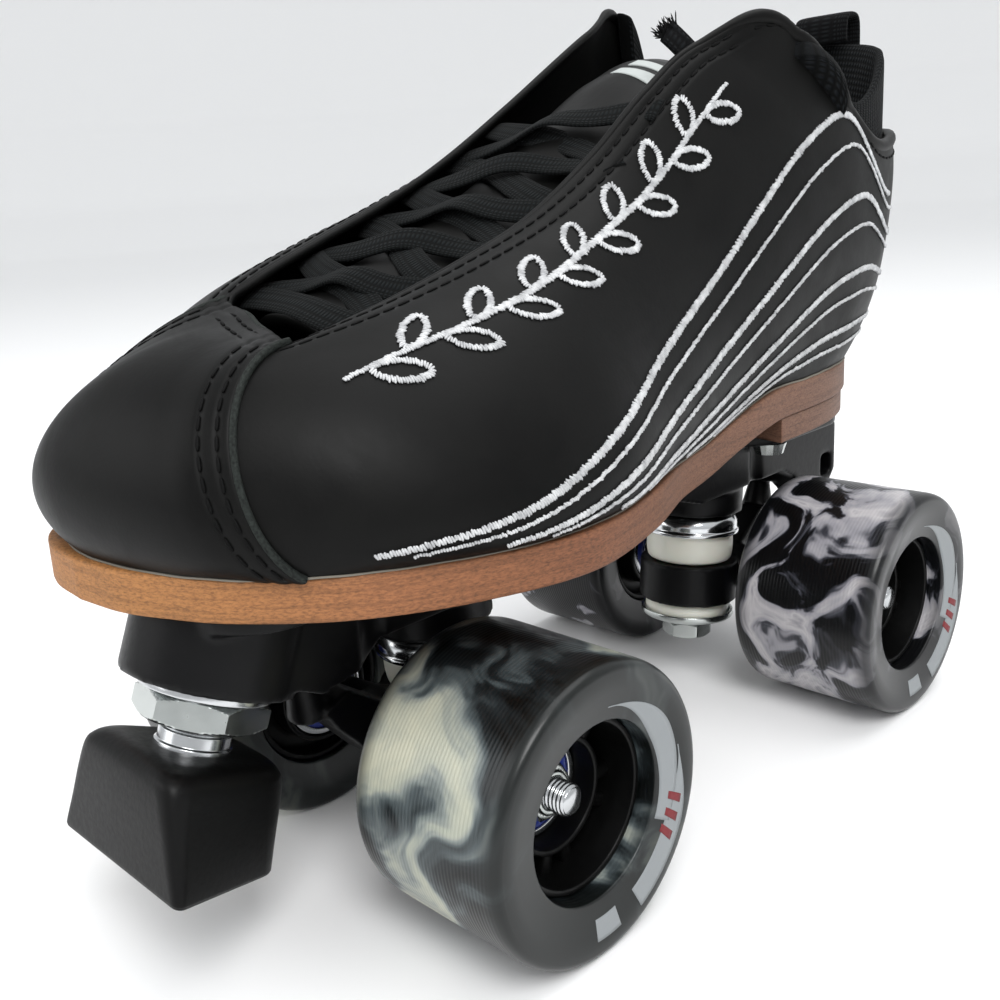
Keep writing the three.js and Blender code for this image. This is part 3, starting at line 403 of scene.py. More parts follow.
def silver_thread():
    """Light grey rayon embroidery thread: silky, brighter on the crown of each stitch."""
    material, tree, shader = finish_of("silver_embroidery_thread", "#b9babb", 0.42, Sheen_Weight=0.25,
                                       Sheen_Roughness=0.3)
    shade = add(tree, "ShaderNodeTexNoise", [("Vector", object_coords(tree)), ("Scale", per_mm(2.2)),
                                             ("Detail", 3.0)])
    tint = add(tree, "ShaderNodeValToRGB", [("Fac", shade.outputs[0])],
               stops=[(0.3, "#9b9c9e"), (0.7, "#d0d1d2")])
    tree.links.new(tint.outputs[0], shader.inputs["Base Color"])
    return material


def woven(name, dark, light, rib_mm, depth=0.25):
    """Flat woven black band: ribs across its width, each split by fine threads, on the piece's own UV in mm;
    painted shade darkens the grooves and a painted highlight lightens the crests.
    """
    material, tree, shader = finish_of(name, dark, 0.9, Sheen_Weight=0.02, Sheen_Roughness=0.5,
                                       Specular_IOR_Level=0.12)
    coords = add(tree, "ShaderNodeTexCoord")
    ribs = add(tree, "ShaderNodeTexWave", [("Vector", coords.outputs["UV"]), ("Scale", 0.314 / rib_mm),
                                           ("Distortion", 0.4), ("Detail", 1.0)],
               bands_direction="X")
    warp = add(tree, "ShaderNodeTexWave", [("Vector", coords.outputs["UV"]),
                                           ("Scale", 0.314 / (rib_mm * 0.8)), ("Distortion", 0.3)],
               bands_direction="Y")
    weave = add(tree, "ShaderNodeMath", [(0, ribs.outputs[1]), (1, warp.outputs[1])],
                operation="MULTIPLY")
    # Painted shade in the grooves and painted highlight on the crests: the tint follows the weave's height.
    tint = add(tree, "ShaderNodeValToRGB", [("Fac", weave.outputs[0])],
               stops=[(0.05, dark), (0.7, light)])
    tree.links.new(tint.outputs[0], shader.inputs["Base Color"])
    bump(tree, shader, weave.outputs[0], depth, 0.8)
    return material


def sole_leather():
    """Vegetable-tanned bend leather, cut edge: orange tan with long fibres, and painted shade that darkens
    the middle and the heel.
    """
    material, tree, shader = finish_of("tanned_sole_leather", "#a86c4c", 0.62, Specular_IOR_Level=0.35)
    place = add(tree, "ShaderNodeTexCoord").outputs["Object"]
    split = add(tree, "ShaderNodeSeparateXYZ", [(0, place)])
    along = add(tree, "ShaderNodeMapRange", [("Value", split.outputs["X"]), ("From Min", -0.11),
                                             ("From Max", 0.13)])
    # Ramp along the sole: the toe keeps its lit tan, and painted shade makes the middle and the heel darker
    # and browner.
    base = add(tree, "ShaderNodeValToRGB", [("Fac", along.outputs[0])],
               stops=[(0.0, "#7d6153"), (0.25, "#785746"), (0.54, "#744f3a"), (0.73, "#7d5036"),
                      (0.88, "#93603d"), (1.0, "#a4703f")])
    fibre = add(tree, "ShaderNodeTexNoise", [("Vector", object_coords(tree, (1, 1, 3.2))),
                                             ("Scale", per_mm(1.1)), ("Detail", 6.0),
                                             ("Roughness", 0.7)])
    speckle = add(tree, "ShaderNodeValToRGB", [("Fac", fibre.outputs[0])],
                  stops=[(0.35, 0.5), (0.55, 0.95), (0.7, 1.12)])
    layers = add(tree, "ShaderNodeTexNoise", [("Vector", object_coords(tree, (0.25, 0.25, 6))),
                                              ("Scale", per_mm(6)), ("Detail", 2.0)])
    line = add(tree, "ShaderNodeValToRGB", [("Fac", layers.outputs[0])], stops=[(0.38, 0.72), (0.5, 1.0)])
    mixed = add(tree, "ShaderNodeMix", [(0, 1.0), (6, base.outputs[0]), (7, speckle.outputs[0])],
                data_type="RGBA", blend_type="MULTIPLY")
    again = add(tree, "ShaderNodeMix", [(0, 0.7), (6, mixed.outputs[2]), (7, line.outputs[0])],
                data_type="RGBA", blend_type="MULTIPLY")
    tree.links.new(again.outputs[2], shader.inputs["Base Color"])
    bump(tree, shader, fibre.outputs[0], 0.25, 0.5)
    return material


def moulded_nylon(name, colour, roughness):
    """Glass-filled nylon from a mould: even satin black with a faint orange peel."""
    material, tree, shader = finish_of(name, colour, roughness, Specular_IOR_Level=0.16)
    peel = add(tree, "ShaderNodeTexNoise", [("Vector", object_coords(tree)), ("Scale", per_mm(1.6)),
                                            ("Detail", 3.0)])
    bump(tree, shader, peel.outputs[0], 0.12, 0.35)
    worn = add(tree, "ShaderNodeMapRange", [("Value", peel.outputs[0]), ("To Min", roughness - 0.08),
                                            ("To Max", roughness + 0.1)])
    tree.links.new(worn.outputs[0], shader.inputs["Roughness"])
    return material


def bright_metal(name, colour, roughness, mottle=0.08, line_mm=None):
    """Plated or turned steel: mottled gloss, with fine turning lines where they show."""
    material, tree, shader = finish_of(name, colour, roughness, 1.0)
    patches = add(tree, "ShaderNodeTexNoise", [("Vector", object_coords(tree)), ("Scale", per_mm(4)),
                                               ("Detail", 5.0)])
    gloss = add(tree, "ShaderNodeMapRange", [("Value", patches.outputs[0]),
                                             ("To Min", max(roughness - mottle, 0.03)),
                                             ("To Max", roughness + mottle)])
    tree.links.new(gloss.outputs[0], shader.inputs["Roughness"])
    stretch = (1, 1, 8 if line_mm else 1)
    scratches = add(tree, "ShaderNodeTexNoise", [("Vector", object_coords(tree, stretch)),
                                                 ("Scale", per_mm(line_mm or 1.2)), ("Detail", 3.0)])
    bump(tree, shader, scratches.outputs[0], 0.03, 0.25)
    return material


def marbled_urethane(name, stops, size_mm, stretch, side):
    """Two colours of cast urethane stirred together: broad folded clouds, fine turned grooves round the
    tread, and a smoky, darker skin on the moulded sides."""
    material, tree, shader = finish_of(name, stops[0][1], 0.3, Specular_IOR_Level=0.3, Coat_Weight=0.05,
                                       Coat_Roughness=0.15)
    place = object_coords(tree, stretch)
    drift = add(tree, "ShaderNodeTexNoise", [("Vector", place), ("Scale", per_mm(size_mm)),
                                             ("Detail", 2.0)])
    pushed = add(tree, "ShaderNodeVectorMath", [(0, drift.outputs["Color"]),
                                                ("Scale", size_mm * MM * 1.3)], operation="SCALE")
    folded = add(tree, "ShaderNodeVectorMath", [(0, place), (1, pushed.outputs[0])], operation="ADD")
    swirl = add(tree, "ShaderNodeTexNoise", [("Vector", folded.outputs[0]), ("Scale", per_mm(size_mm)),
                                             ("Detail", 4.0), ("Roughness", 0.52), ("Distortion", 1.3)])
    tint = add(tree, "ShaderNodeValToRGB", [("Fac", swirl.outputs[0])], stops=stops)
    split = add(tree, "ShaderNodeSeparateXYZ", [(0, object_coords(tree))])
    outward = add(tree, "ShaderNodeMath", [(0, split.outputs["Y"])], operation="ABSOLUTE")
    offset = add(tree, "ShaderNodeMath", [(0, outward.outputs[0]), (1, WHEEL_MIDDLE * MM)],
                 operation="SUBTRACT")
    away = add(tree, "ShaderNodeMath", [(0, offset.outputs[0])], operation="ABSOLUTE")
    edge = add(tree, "ShaderNodeMapRange", [("Value", away.outputs[0]), ("From Min", 0.0145),
                                            ("From Max", 0.0186), ("To Max", 0.86)])
    smoked = add(tree, "ShaderNodeMix", [(0, edge.outputs[0]), (6, tint.outputs[0]), (7, linear(side))],
                 data_type="RGBA")
    tree.links.new(smoked.outputs[2], shader.inputs["Base Color"])
    grooves = add(tree, "ShaderNodeTexWave", [("Vector", object_coords(tree)),
                                              ("Scale", 0.314 * per_mm(0.95))], bands_direction="Y")
    flat = add(tree, "ShaderNodeMath", [(0, 1.0), (1, edge.outputs[0])], operation="SUBTRACT")
    cut = add(tree, "ShaderNodeMath", [(0, grooves.outputs[1]), (1, flat.outputs[0])],
              operation="MULTIPLY")
    bump(tree, shader, cut.outputs[0], 0.1, 0.4)
    return material


def plain(name, colour, roughness, size_mm=2.0, depth=0.05, **sockets):
    """An even surface with a faint unevenness of its own."""
    material, tree, shader = finish_of(name, colour, roughness, **sockets)
    uneven = add(tree, "ShaderNodeTexNoise", [("Vector", object_coords(tree)), ("Scale", per_mm(size_mm)),
                                              ("Detail", 4.0)])
    gloss = add(tree, "ShaderNodeMapRange", [("Value", uneven.outputs[0]),
                                             ("To Min", max(roughness - 0.08, 0)),
                                             ("To Max", roughness + 0.08)])
    tree.links.new(gloss.outputs[0], shader.inputs["Roughness"])
    bump(tree, shader, uneven.outputs[0], depth, 0.4)
    return material


# Bands and mesh are drawn with ribs as coarse as they need to be to show.
LEATHER = smooth_leather()
CUT_EDGE = cut_edge_leather()
BLACK_THREAD = black_thread()
SILVER_THREAD = silver_thread()
LACE_WEAVE = woven("woven_black_lace", "#030404", "#0f1314", 1.1)
WEBBING = woven("black_webbing", "#040405", "#111315", 1.4)
RIB_MESH = woven("ribbed_black_mesh", "#040505", "#14171a", 1.6, depth=0.5)
SOLE = sole_leather()
# Glass-filled nylon: deep satin black on the plate and hangers, a little glossier on the hubs.
NYLON = moulded_nylon("moulded_black_nylon", "#070708", 0.38)
HUB_NYLON = moulded_nylon("black_hub_nylon", "#060606", 0.36)
# Chromed cups: near mirror. Zinc plate on nuts and bolts: softer, mottled. Turned steel: fine lines.
CHROME = bright_metal("satin_chrome", "#c9cbcd", 0.17, 0.05)
ZINC = bright_metal("bright_zinc_plate", "#b9bdbb", 0.24, 0.1)
STEEL = bright_metal("turned_steel", "#c2c4c6", 0.2, 0.06, 1.0)
# Soft ivory cushions: cast urethane, waxy.
CUSHION = plain("ivory_cushion_urethane", "#e6e1d4", 0.38, 3.0, 0.05, Subsurface_Weight=0.1)
# Pale wheels: cream and grey-green with slate and black folds.
URETHANE_FRONT = marbled_urethane("pale_marbled_urethane", [(0.36, "#070909"), (0.43, "#1d2224"),
                                                            (0.48, "#4a5254"), (0.52, "#7b827f"),
                                                            (0.57, "#a0a396"), (0.66, "#b4b4a1"),], 34,
                                  (1, 0.8, 1), "#141716")
# Dark wheels: near black with white and lilac-grey folds.
URETHANE_REAR = marbled_urethane("dark_marbled_urethane", [(0.36, "#040405"), (0.49, "#08090b"),
                                                           (0.515, "#3a3b42"), (0.54, "#8d8c92"),
                                                           (0.62, "#b5b2b4"), (0.72, "#6a6a72"),], 30,
                                 (1, 1.1, 1), "#0c0d0f")
# Moulded blue shields, glossy at a glance; stop rubber, matt and scuffed; flat pad-print inks; a bright
# foil print; chalky cement.
SHIELD = plain("blue_bearing_shield", "#20348f", 0.35, 1.5, 0.03, Coat_Weight=0.3)
STOP_RUBBER = plain("black_stop_rubber", "#040404", 0.42, 1.2, 0.12, Specular_IOR_Level=0.16)
PRINT_GREY = plain("grey_pad_print", "#84888a", 0.5, 1.5, 0.03)
PRINT_RED = plain("dark_red_pad_print", "#6e161c", 0.5, 1.5, 0.03)
REFLECTIVE = plain("silver_tongue_print", "#a9aeac", 0.45, 0.7, 0.12)
GLUE = plain("grey_sole_cement", "#6f6a60", 0.7, 1.0, 0.2)

# ------------------------------------------------------------------ the boot's skin
SOLE_BOTTOM, SOLE_THICKNESS, HEEL_HEIGHT, HEEL_BACK = 77.5, 8.5, 7.0, -50.0
LEATHER_THICKNESS = 2.0

# Once round the foot from the toe along the outer side to the heel and back along the inner side.
# Each row is drawn from the sole to the opening: [x, y] at the sole, a third up, two thirds up, the rim.
UPPER = [
    [(130, -11), (134, -13, 103), (122, -8, 120), (94.5, 1, 127)],
    [(125, 15), (128.5, 16, 102), (119.5, 8, 119), (96.5, 8, 125.8)],
    [(114, 32.5), (121.5, 27, 100), (116, 20.5, 116.5), (98, 16, 124)],
    [(97, 45), (101, 46, 100), (99, 33, 118), (88, 16.8, 126.3)],
    [(75, 54), (77, 55.5, 100), (77, 40, 120.5), (74, 17.8, 130)],
    [(50, 54.5), (50.5, 55.5, 102), (54, 41.5, 124), (57, 18.8, 135.2)],
    [(20, 44.5), (21, 47.5, 104), (27, 39, 129.5), (36, 19.9, 142.8)],
    [(-10, 36.5), (-10, 41.5, 108), (-1, 37.8, 136), (15, 21.3, 154.8)],
    [(-37, 33.5), (-38, 40, 114.5), (-27, 38.7, 146), (-4, 23.2, 169)],
    [(-60, 33.5), (-63, 38.5, 119), (-50, 40, 153), (-22, 25.5, 179.5)],
    [(-79, 31), (-85, 37, 119), (-75, 39.5, 154), (-46, 34.5, 184)],
    [(-96, 26), (-104, 32, 115), (-100, 36, 136), (-87, 37.5, 155.5)],
    [(-107, 14.5), (-120, 19, 115), (-123.5, 24, 137), (-120, 27, 157)],
    [(-111, 0), (-126.5, 0, 114), (-133.5, 0, 136), (-136.5, 0, 159)],
    [(-107, -14.5), (-120, -19, 115), (-123.5, -24, 138), (-120, -27, 159)],
    [(-96, -26), (-104, -32, 116), (-101, -36.5, 140), (-92, -37, 165)],
    [(-79, -30.5), (-85, -36.5, 121), (-80, -38.5, 158), (-66, -34, 194.5)],
    [(-60, -29.5), (-63, -37, 122), (-57, -38.5, 158), (-44, -27, 189.5)],
    [(-30, -29.5), (-31, -37, 116), (-22, -37, 150), (-8, -24.8, 170.5)],
    [(2, -31.5), (3, -39.5, 109), (7, -36.5, 140), (18, -22.8, 157.5)],
    [(35, -38.5), (35, -44, 105.5), (38, -37.5, 134), (41, -21.2, 148)],
    [(65, -45.5), (66, -49, 104), (66, -38.5, 129), (62, -19.5, 141)],
    [(92, -47), (94, -50, 103), (91, -36, 124), (80, -17.3, 135)],
    [(111, -44), (118, -43, 102), (111, -25, 119.5), (90, -15.5, 130)],
    [(124, -33), (129.5, -31, 102.5), (119.5, -17, 119.5), (92.5, -5, 128.5)],
]
ROUND = len(UPPER)
OUTER_SEAM, OUTER_TOP, BACK_SEAM, INNER_TOP, INNER_SEAM = 2, 9, 13, 17, 23


def sole_underside(x):
    """Flat under the ball of the foot, rising by a smooth step to the heel."""
    return SOLE_BOTTOM + HEEL_HEIGHT * smoothstep(np.asarray(x) / HEEL_BACK)


def sole_top(x):
    """Upper face of the outsole."""
    return sole_underside(x) + SOLE_THICKNESS


LEVELS = [np.array([row[k] if k else (*row[0], 0) for row in UPPER], float) for k in range(4)]


def skin(row, v):
    """The boot's outer surface: each of four closed curves round the foot at this row, and the cubic in
    v through their points at 0, 1/3, 2/3 and 1."""
    row, v = np.broadcast_arrays(np.asarray(row, float) % ROUND, np.asarray(v, float))
    points = [catmull(level, row, closed=True) for level in LEVELS]
    points[0][..., 2] = sole_top(points[0][..., 0]) + 0.1
    weights = [(1 - 3 * v) * (2 - 3 * v) * (1 - v) / 2, 9 * v * (1 - v) * (2 - 3 * v) / 2,
               9 * v * (3 * v - 1) * (1 - v) / 2, v * (3 * v - 1) * (3 * v - 2) / 2]
    return sum(w[..., None] * p for w, p in zip(weights, points))


def skin_normal(row, v, step=0.01):
    """Unit normal of the skin, pointing out: the cross product of its two directions."""
    row, v = np.broadcast_arrays(np.asarray(row, float), np.asarray(v, float))
    along = skin(row + step, v) - skin(row - step, v)
    up = skin(row, np.minimum(v + step, 1)) - skin(row, np.maximum(v - step, 0))
    return unit(np.cross(along, up))


def on_skin(row, v, lift=0.0):
    """Points raised off the skin by lift, in millimetres."""
    return skin(row, v) + skin_normal(row, v) * np.asarray(lift)[..., None]


def row_at(edge_row, direction, distance, v):
    """Rows that lie a distance along the skin from an edge row, at each v."""
    rows = edge_row + direction * np.linspace(0, 2.2, 90)
    line = skin(rows[:, None], v[None])
    steps = np.linalg.norm(np.diff(line, axis=0), axis=-1)
    length = np.concatenate([np.zeros((1, len(v))), np.cumsum(steps, 0)])
    return np.array([np.interp(distance, length[:, k], rows) for k in range(len(v))])


def level_at(rows, distance):
    """Levels that lie a distance below the rim, at each row."""
    v = np.linspace(1, 0.4, 90)
    line = skin(rows[:, None], v[None])
    steps = np.linalg.norm(np.diff(line, axis=1), axis=-1)
    length = np.concatenate([np.zeros((len(rows), 1)), np.cumsum(steps, 1)], 1)
    return np.array([np.interp(distance, length[k], v) for k in range(len(rows))])


def dip(distance, at, width=0.7, depth=0.22):
    """Shallow channel that a stitch row pulls into the leather."""
    return -depth * np.exp(-((distance - at) / width) ** 2)


# Distances of the two stitch rows from an edge.
STITCH_ROWS = (2.7, 6.2)
# The cap laps over the quarters by this part of a row and stands this far off the skin, in millimetres.
CAP_LAP, CAP_LIFT, CAP_THICKNESS = 0.14, 1.15, 1.3


def edge_distance(grid, axis, from_end=False):
    """Length along one direction of a grid of points, measured from its first or last line."""
    step = np.linalg.norm(np.diff(grid, axis=axis), axis=-1)
    if from_end:
        step = np.flip(step, axis)
    total = np.cumsum(step, axis)
    total = np.insert(total, 0, 0, axis)
    return np.flip(total, axis) if from_end else total


def graded(start, end, count, edge, edge_count, both=False):
    """Numbers from start to end, packed closely in the last stretch (and the first, if both)."""
    parts = [np.linspace(start, start + edge, edge_count, endpoint=False)] if both else []
    parts.append(np.linspace(start + (edge if both else 0), end - edge, count, endpoint=False))
    parts.append(np.linspace(end - edge, end, edge_count))
    return np.concatenate(parts)


def toe_cap():
    """The cap laps over both quarters: it lifts off the skin towards its seam edges."""
    rows = graded(INNER_SEAM - ROUND - CAP_LAP, OUTER_SEAM + CAP_LAP, 90, 0.55, 40, both=True)
    levels = graded(0, 1, 50, 0.2, 30)
    base = skin(rows[:, None], levels[None])
    ends = np.minimum(edge_distance(base, 0), edge_distance(base, 0, True))
    rim = edge_distance(base, 1, True)
    rolled = np.sqrt(np.clip(1 - (1 - np.clip(ends / 0.9, 0, 1)) ** 2, 0.02, 1))
    lift = CAP_LIFT * (1 - smoothstep(ends / 15)) * rolled
    lift = lift + sum(dip(ends, at) + dip(rim, at) for at in STITCH_ROWS)
    normal = skin_normal(rows[:, None], levels[None])
    outer = base + normal * lift[..., None]
    inner = base + normal * np.minimum(lift - CAP_THICKNESS, 0.12)[..., None]
    piece("toe_cap_leather", shell(outer, inner, (120, 60)), LEATHER, "toe_cap")
    for k, start in enumerate((rows[-1], rows[0])):
        v = np.linspace(0.01, 0.985, 160)
        edge = on_skin(np.full_like(v, start), v, CAP_LIFT * 0.45)
        band = sweep(edge, skin_normal(np.full_like(v, start), v), flat_section(1.3, 1.5, 3, 12))
        piece(f"toe_cap_cut_edge_{k}", tube(band), CUT_EDGE)


def quarter(name, node, start, end):
    """One side panel, from under the toe cap to the back seam, with channels along its stitch rows."""
    rows = np.linspace(start, end, 330)
    levels = graded(0, 1, 66, 0.16, 44)
    base = skin(rows[:, None], levels[None])
    rim = edge_distance(base, 1, True)
    eyestay = smoothstep((rows - start) / 0.3) if start < 10 else smoothstep((end - rows) / 0.3)
    top = OUTER_TOP if start < 10 else INNER_TOP
    front = smoothstep((top + 0.6 - rows) / 0.4) if start < 10 else smoothstep((rows - top + 0.6) / 0.4)
    lift = sum(dip(rim, at) for at in STITCH_ROWS) * (eyestay * front)[:, None]
    lift = lift - 0.5 * np.clip(1 - rim / 0.9, 0, 1) ** 2
    normal = skin_normal(rows[:, None], levels[None])
    part = shell(base + normal * lift[..., None], base - normal * LEATHER_THICKNESS, (250, 90))
    piece(name, part, LEATHER, node)


def rim_roll():
    """The folded edge all round the opening: a thin cord of leather on the rim, thicker on the collar."""
    rows = np.linspace(INNER_SEAM - ROUND, OUTER_SEAM, 60)
    line = on_skin(rows, 1.0, -0.75)
    cord = sweep(line, skin_normal(rows, 1.0), circle(0.95, 10))
    piece("throat_edge", tube(cord), CUT_EDGE)
    rows = np.linspace(OUTER_SEAM + 0.02, INNER_SEAM - 0.02, 620)
    collar = smoothstep((rows - OUTER_TOP - 0.3) / 0.5) * smoothstep((INNER_TOP - 0.3 - rows) / 0.5)
    radius = 1.05 + 0.85 * collar
    line = on_skin(rows, 1.0, -1.0)
    _, side, top = frames(line, skin_normal(rows, 1.0))
    ring = circle(1, 14)
    cord = line[:, None] + radius[:, None, None] * (side[:, None] * ring[None, :, :1]
                                                    + top[:, None] * ring[None, :, 1:])
    piece("collar_binding", tube(cord), LEATHER)


def stitches(path, normal, pitch=3.7, length=3.0, width=0.75, height=0.55):
    """A row of lock stitches: capsules laid nose to tail along a path, sunk a little in the leather."""
    step = lengths(path)
    at = np.arange(pitch / 2, step[-1] - pitch / 2, pitch)
    middle = at_lengths(at, step, path)
    ahead = unit(at_lengths(at + 0.5, step, path) - middle)
    up = unit(at_lengths(at, step, normal))
    return capsules(middle, ahead, up, np.full(len(at), length), width, height)


def capsules(middle, ahead, up, length, width, height, rings=5, sides=6):
    """Many small ellipsoids at once, each with its own place, direction and length."""
    side = unit(np.cross(ahead, up))
    up = np.cross(side, ahead)
    t = np.linspace(-1, 1, rings + 2)[1:-1]
    reach, girth = np.sign(t) * np.abs(t) ** 0.8, np.sqrt(1 - (t * 0.96) ** 2) ** 0.8
    angle = np.linspace(0, 2 * np.pi, sides, endpoint=False)
    shift = reach[:, None, None] * length[:, None, None, None] / 2
    ring = (side[:, None, None] * np.cos(angle)[None, None, :, None] * width / 2
            + up[:, None, None] * np.sin(angle)[None, None, :, None] * height / 2)
    ring = ring * girth[None, :, None, None]
    body = middle[:, None, None] + ahead[:, None, None] * shift + ring
    both = np.array([-1, 1])[None, :, None]
    tips = middle[:, None] + ahead[:, None] * length[:, None, None] / 2 * both * 1.02
    points = np.concatenate([body.reshape(len(middle), -1, 3), tips], 1)
    i, j = np.meshgrid(np.arange(rings - 1), np.arange(sides), indexing="ij")
    quads = np.stack([i * sides + j, (i + 1) * sides + j, (i + 1) * sides + (j + 1) % sides,
                      i * sides + (j + 1) % sides], -1).reshape(-1, 4)
    k = np.arange(sides)
    count = rings * sides
    low = np.stack([np.full(sides, count), k, (k + 1) % sides], -1)
    high = np.stack([np.full(sides, count + 1), (rings - 1) * sides + (k + 1) % sides,
                     (rings - 1) * sides + k], -1)
    offset = (np.arange(len(middle)) * (count + 2))[:, None, None]
    faces = [(quads[None] + offset).reshape(-1, 4), (low[None] + offset).reshape(-1, 3),
             (high[None] + offset).reshape(-1, 3)]
    return points.reshape(-1, 3), faces, np.zeros((sum(f.size for f in faces), 2))


def seam_stitching():
    """Double rows along both toe-cap edges, both eyestays and the throat, and one row under the
    collar binding."""
    runs = []
    v = np.linspace(0.03, 0.93, 200)
    for distance in STITCH_ROWS:
        for edge, direction in ((OUTER_SEAM + CAP_LAP, -1), (INNER_SEAM - ROUND - CAP_LAP, 1)):
            rows = row_at(edge, direction, distance, v)
            lift = CAP_LIFT * (1 - smoothstep(distance / 15)) - 0.08
            runs.append(stitches(on_skin(rows, v, lift), skin_normal(rows, v)))
        for first, last in ((OUTER_SEAM + 0.25, OUTER_TOP + 0.35), (INNER_TOP - 0.35, INNER_SEAM - 0.25),
                            (INNER_SEAM - ROUND + 0.4, OUTER_SEAM - 0.4)):
            rows = np.linspace(first, last, 400)
            levels = level_at(rows, distance)
            runs.append(stitches(on_skin(rows, levels, -0.08), skin_normal(rows, levels)))
    rows = np.linspace(OUTER_TOP + 0.5, INNER_TOP - 0.5, 500)
    levels = level_at(rows, 4.2)
    runs.append(stitches(on_skin(rows, levels, 0.05), skin_normal(rows, levels)))
    for offset in (-0.14, 0.14):
        levels = np.linspace(0.03, 0.93, 200)
        rows = np.full_like(levels, BACK_SEAM + offset)
        runs.append(stitches(on_skin(rows, levels, 0.05), skin_normal(rows, levels)))
    piece("seam_stitching", merged(runs), BLACK_THREAD)


# ------------------------------------------------------------------ embroidery
# Space between neighbouring threads, and a thread's width and height. Real rayon is finer than this; it
# is drawn as coarse as it needs to show.
SATIN_PITCH, SATIN_THREAD = 0.52, (0.58, 0.62)


def satin(points, width, taper=0.0):
    """A satin-stitched stroke on the outer quarter: threads laid side by side across a line that is given
    as (row, level) points, with a little unevenness in their length and angle."""
    line = smooth_path(points, 400)
    path = on_skin(line[:, 0], line[:, 1])
    step = lengths(path)
    at = np.arange(SATIN_PITCH / 2, step[-1], SATIN_PITCH)
    row, level = np.interp(at, step, line[:, 0]), np.interp(at, step, line[:, 1])
    normal = skin_normal(row, level)
    middle = at_lengths(at, step, path) + normal * 0.28
    ahead = unit(at_lengths(at + 0.4, step, path) - at_lengths(at - 0.4, step, path))
    across = unit(np.cross(ahead, normal))
    slant = 0.3 + 0.1 * (-1.0) ** np.arange(len(at)) + 0.08 * rng.standard_normal(len(at))
    share = at / step[-1]
    length = width * (1 - taper * np.abs(2 * share - 1) ** 2) * (1 + 0.09 * rng.standard_normal(len(at)))
    middle = middle + across * (0.1 * rng.standard_normal(len(at)))[:, None]
    return capsules(middle, unit(across + ahead * slant[:, None]), normal, length, *SATIN_THREAD,
                    rings=4, sides=5)


def leaf(row, level, direction, turn, length, half_width):
    """A stitched leaf that grows out of (row, level): two arcs, half_width times sine to the power 1.3, that
    meet in points. Lengths are in millimetres on the skin; direction is a (row, level) step along the stem
    and turn is the leaf's angle from it."""
    by_row = (skin(row + 0.05, level) - skin(row - 0.05, level)) / 0.1
    by_level = (skin(row, level + 0.02) - skin(row, level - 0.02)) / 0.04
    stem = unit(by_row * direction[0] + by_level * direction[1])
    aside = np.cross(skin_normal(row, level), stem)
    ahead = stem * math.cos(turn) + aside * math.sin(turn)
    across = aside * math.cos(turn) - stem * math.sin(turn)
    to_skin = np.linalg.pinv(np.stack([by_row, by_level], 1))
    share = np.linspace(0, 1, 9)
    reach = 1.0 + length * (1 - np.cos(np.pi * share)) / 2
    bulge = half_width * np.clip(np.sin(np.pi * share), 0, 1) ** 1.3
    sides = [np.array([row, level]) + (reach[:, None] * ahead + side * bulge[:,
                                                                             None] * across) @ to_skin.T
             for side in (1, -1)]
    return [satin(points.tolist(), 1.7) for points in sides]


# The stem of the branch below the eyestay, as (row, level) points.
STEM = [(3.0, 0.68), (3.56, 0.72), (4.52, 0.745), (5.48, 0.765), (6.36, 0.803), (7.28, 0.843),
        (8.2, 0.88), (8.6, 0.893)]
LEAVES, LEAF_TURN, LEAF_LENGTH, LEAF_HALF_WIDTH = 15, 0.6, 10.5, 2.3


def branch():
    """A laurel branch that climbs along the eyestay: a stem with leaves on alternate sides."""
    line = smooth_path(STEM, 300)
    path = skin(line[:, 0], line[:, 1])
    step = lengths(path)
    strokes = [satin(STEM, 1.9, taper=0.4)]
    for k in range(LEAVES):
        i = int(np.interp((k + 0.6) / (LEAVES + 1) * step[-1], step, np.arange(300)))
        ahead = line[min(i + 6, 299)] - line[max(i - 6, 0)]
        strokes += leaf(*line[i], ahead, LEAF_TURN if k % 2 else -LEAF_TURN, LEAF_LENGTH, LEAF_HALF_WIDTH)
    return strokes


# Sweeps over the quarter: first row, last row, first level, last level, width in millimetres.
SWEEPS = [(2.75, 11.2, 0.12, 0.76, 2.3), (3.0, 11.35, 0.10, 0.69, 1.2), (3.7, 11.5, 0.09, 0.57, 2.2),
          (4.1, 11.55, 0.075, 0.50, 1.2), (4.9, 11.6, 0.065, 0.38, 2.1), (5.4, 11.6, 0.055, 0.31, 1.2),
          (6.3, 11.6, 0.045, 0.20, 2.0), (6.9, 11.6, 0.035, 0.13, 1.2)]


def sweeps():
    """Plain lines in pairs that fan out from the forefoot to the heel. The row runs evenly with t, and the
    level rises with (3t^2 - 2t^3) to the power 0.6."""
    t = np.linspace(0, 1, 12)
    lines = []
    for first, last, low, high, width in SWEEPS:
        points = np.stack([first + (last - first) * t, low + (high - low) * smoothstep(t) ** 0.6], -1)
        lines.append(satin(points.tolist(), width, taper=0.35))
    return lines


def embroidery():
    """The embroidery, in two pieces so that each stays light."""
    piece("embroidered_branch", merged(branch()), SILVER_THREAD)
    piece("embroidered_sweeps", merged(sweeps()), SILVER_THREAD)


# ------------------------------------------------------------------ tongue and lace
EDGES = {}
for side_name, first, last in (("outer", OUTER_SEAM, OUTER_TOP), ("inner", INNER_SEAM, INNER_TOP)):
    EDGES[side_name] = skin(np.linspace(first, last, 200), 1.0)


def edge_at(side_name, x):
    """Rim point of an eyestay at a place along the foot."""
    line = EDGES[side_name]
    order = np.argsort(line[:, 0])
    return np.stack([np.interp(x, line[order, 0], line[order, k]) for k in range(3)], -1)


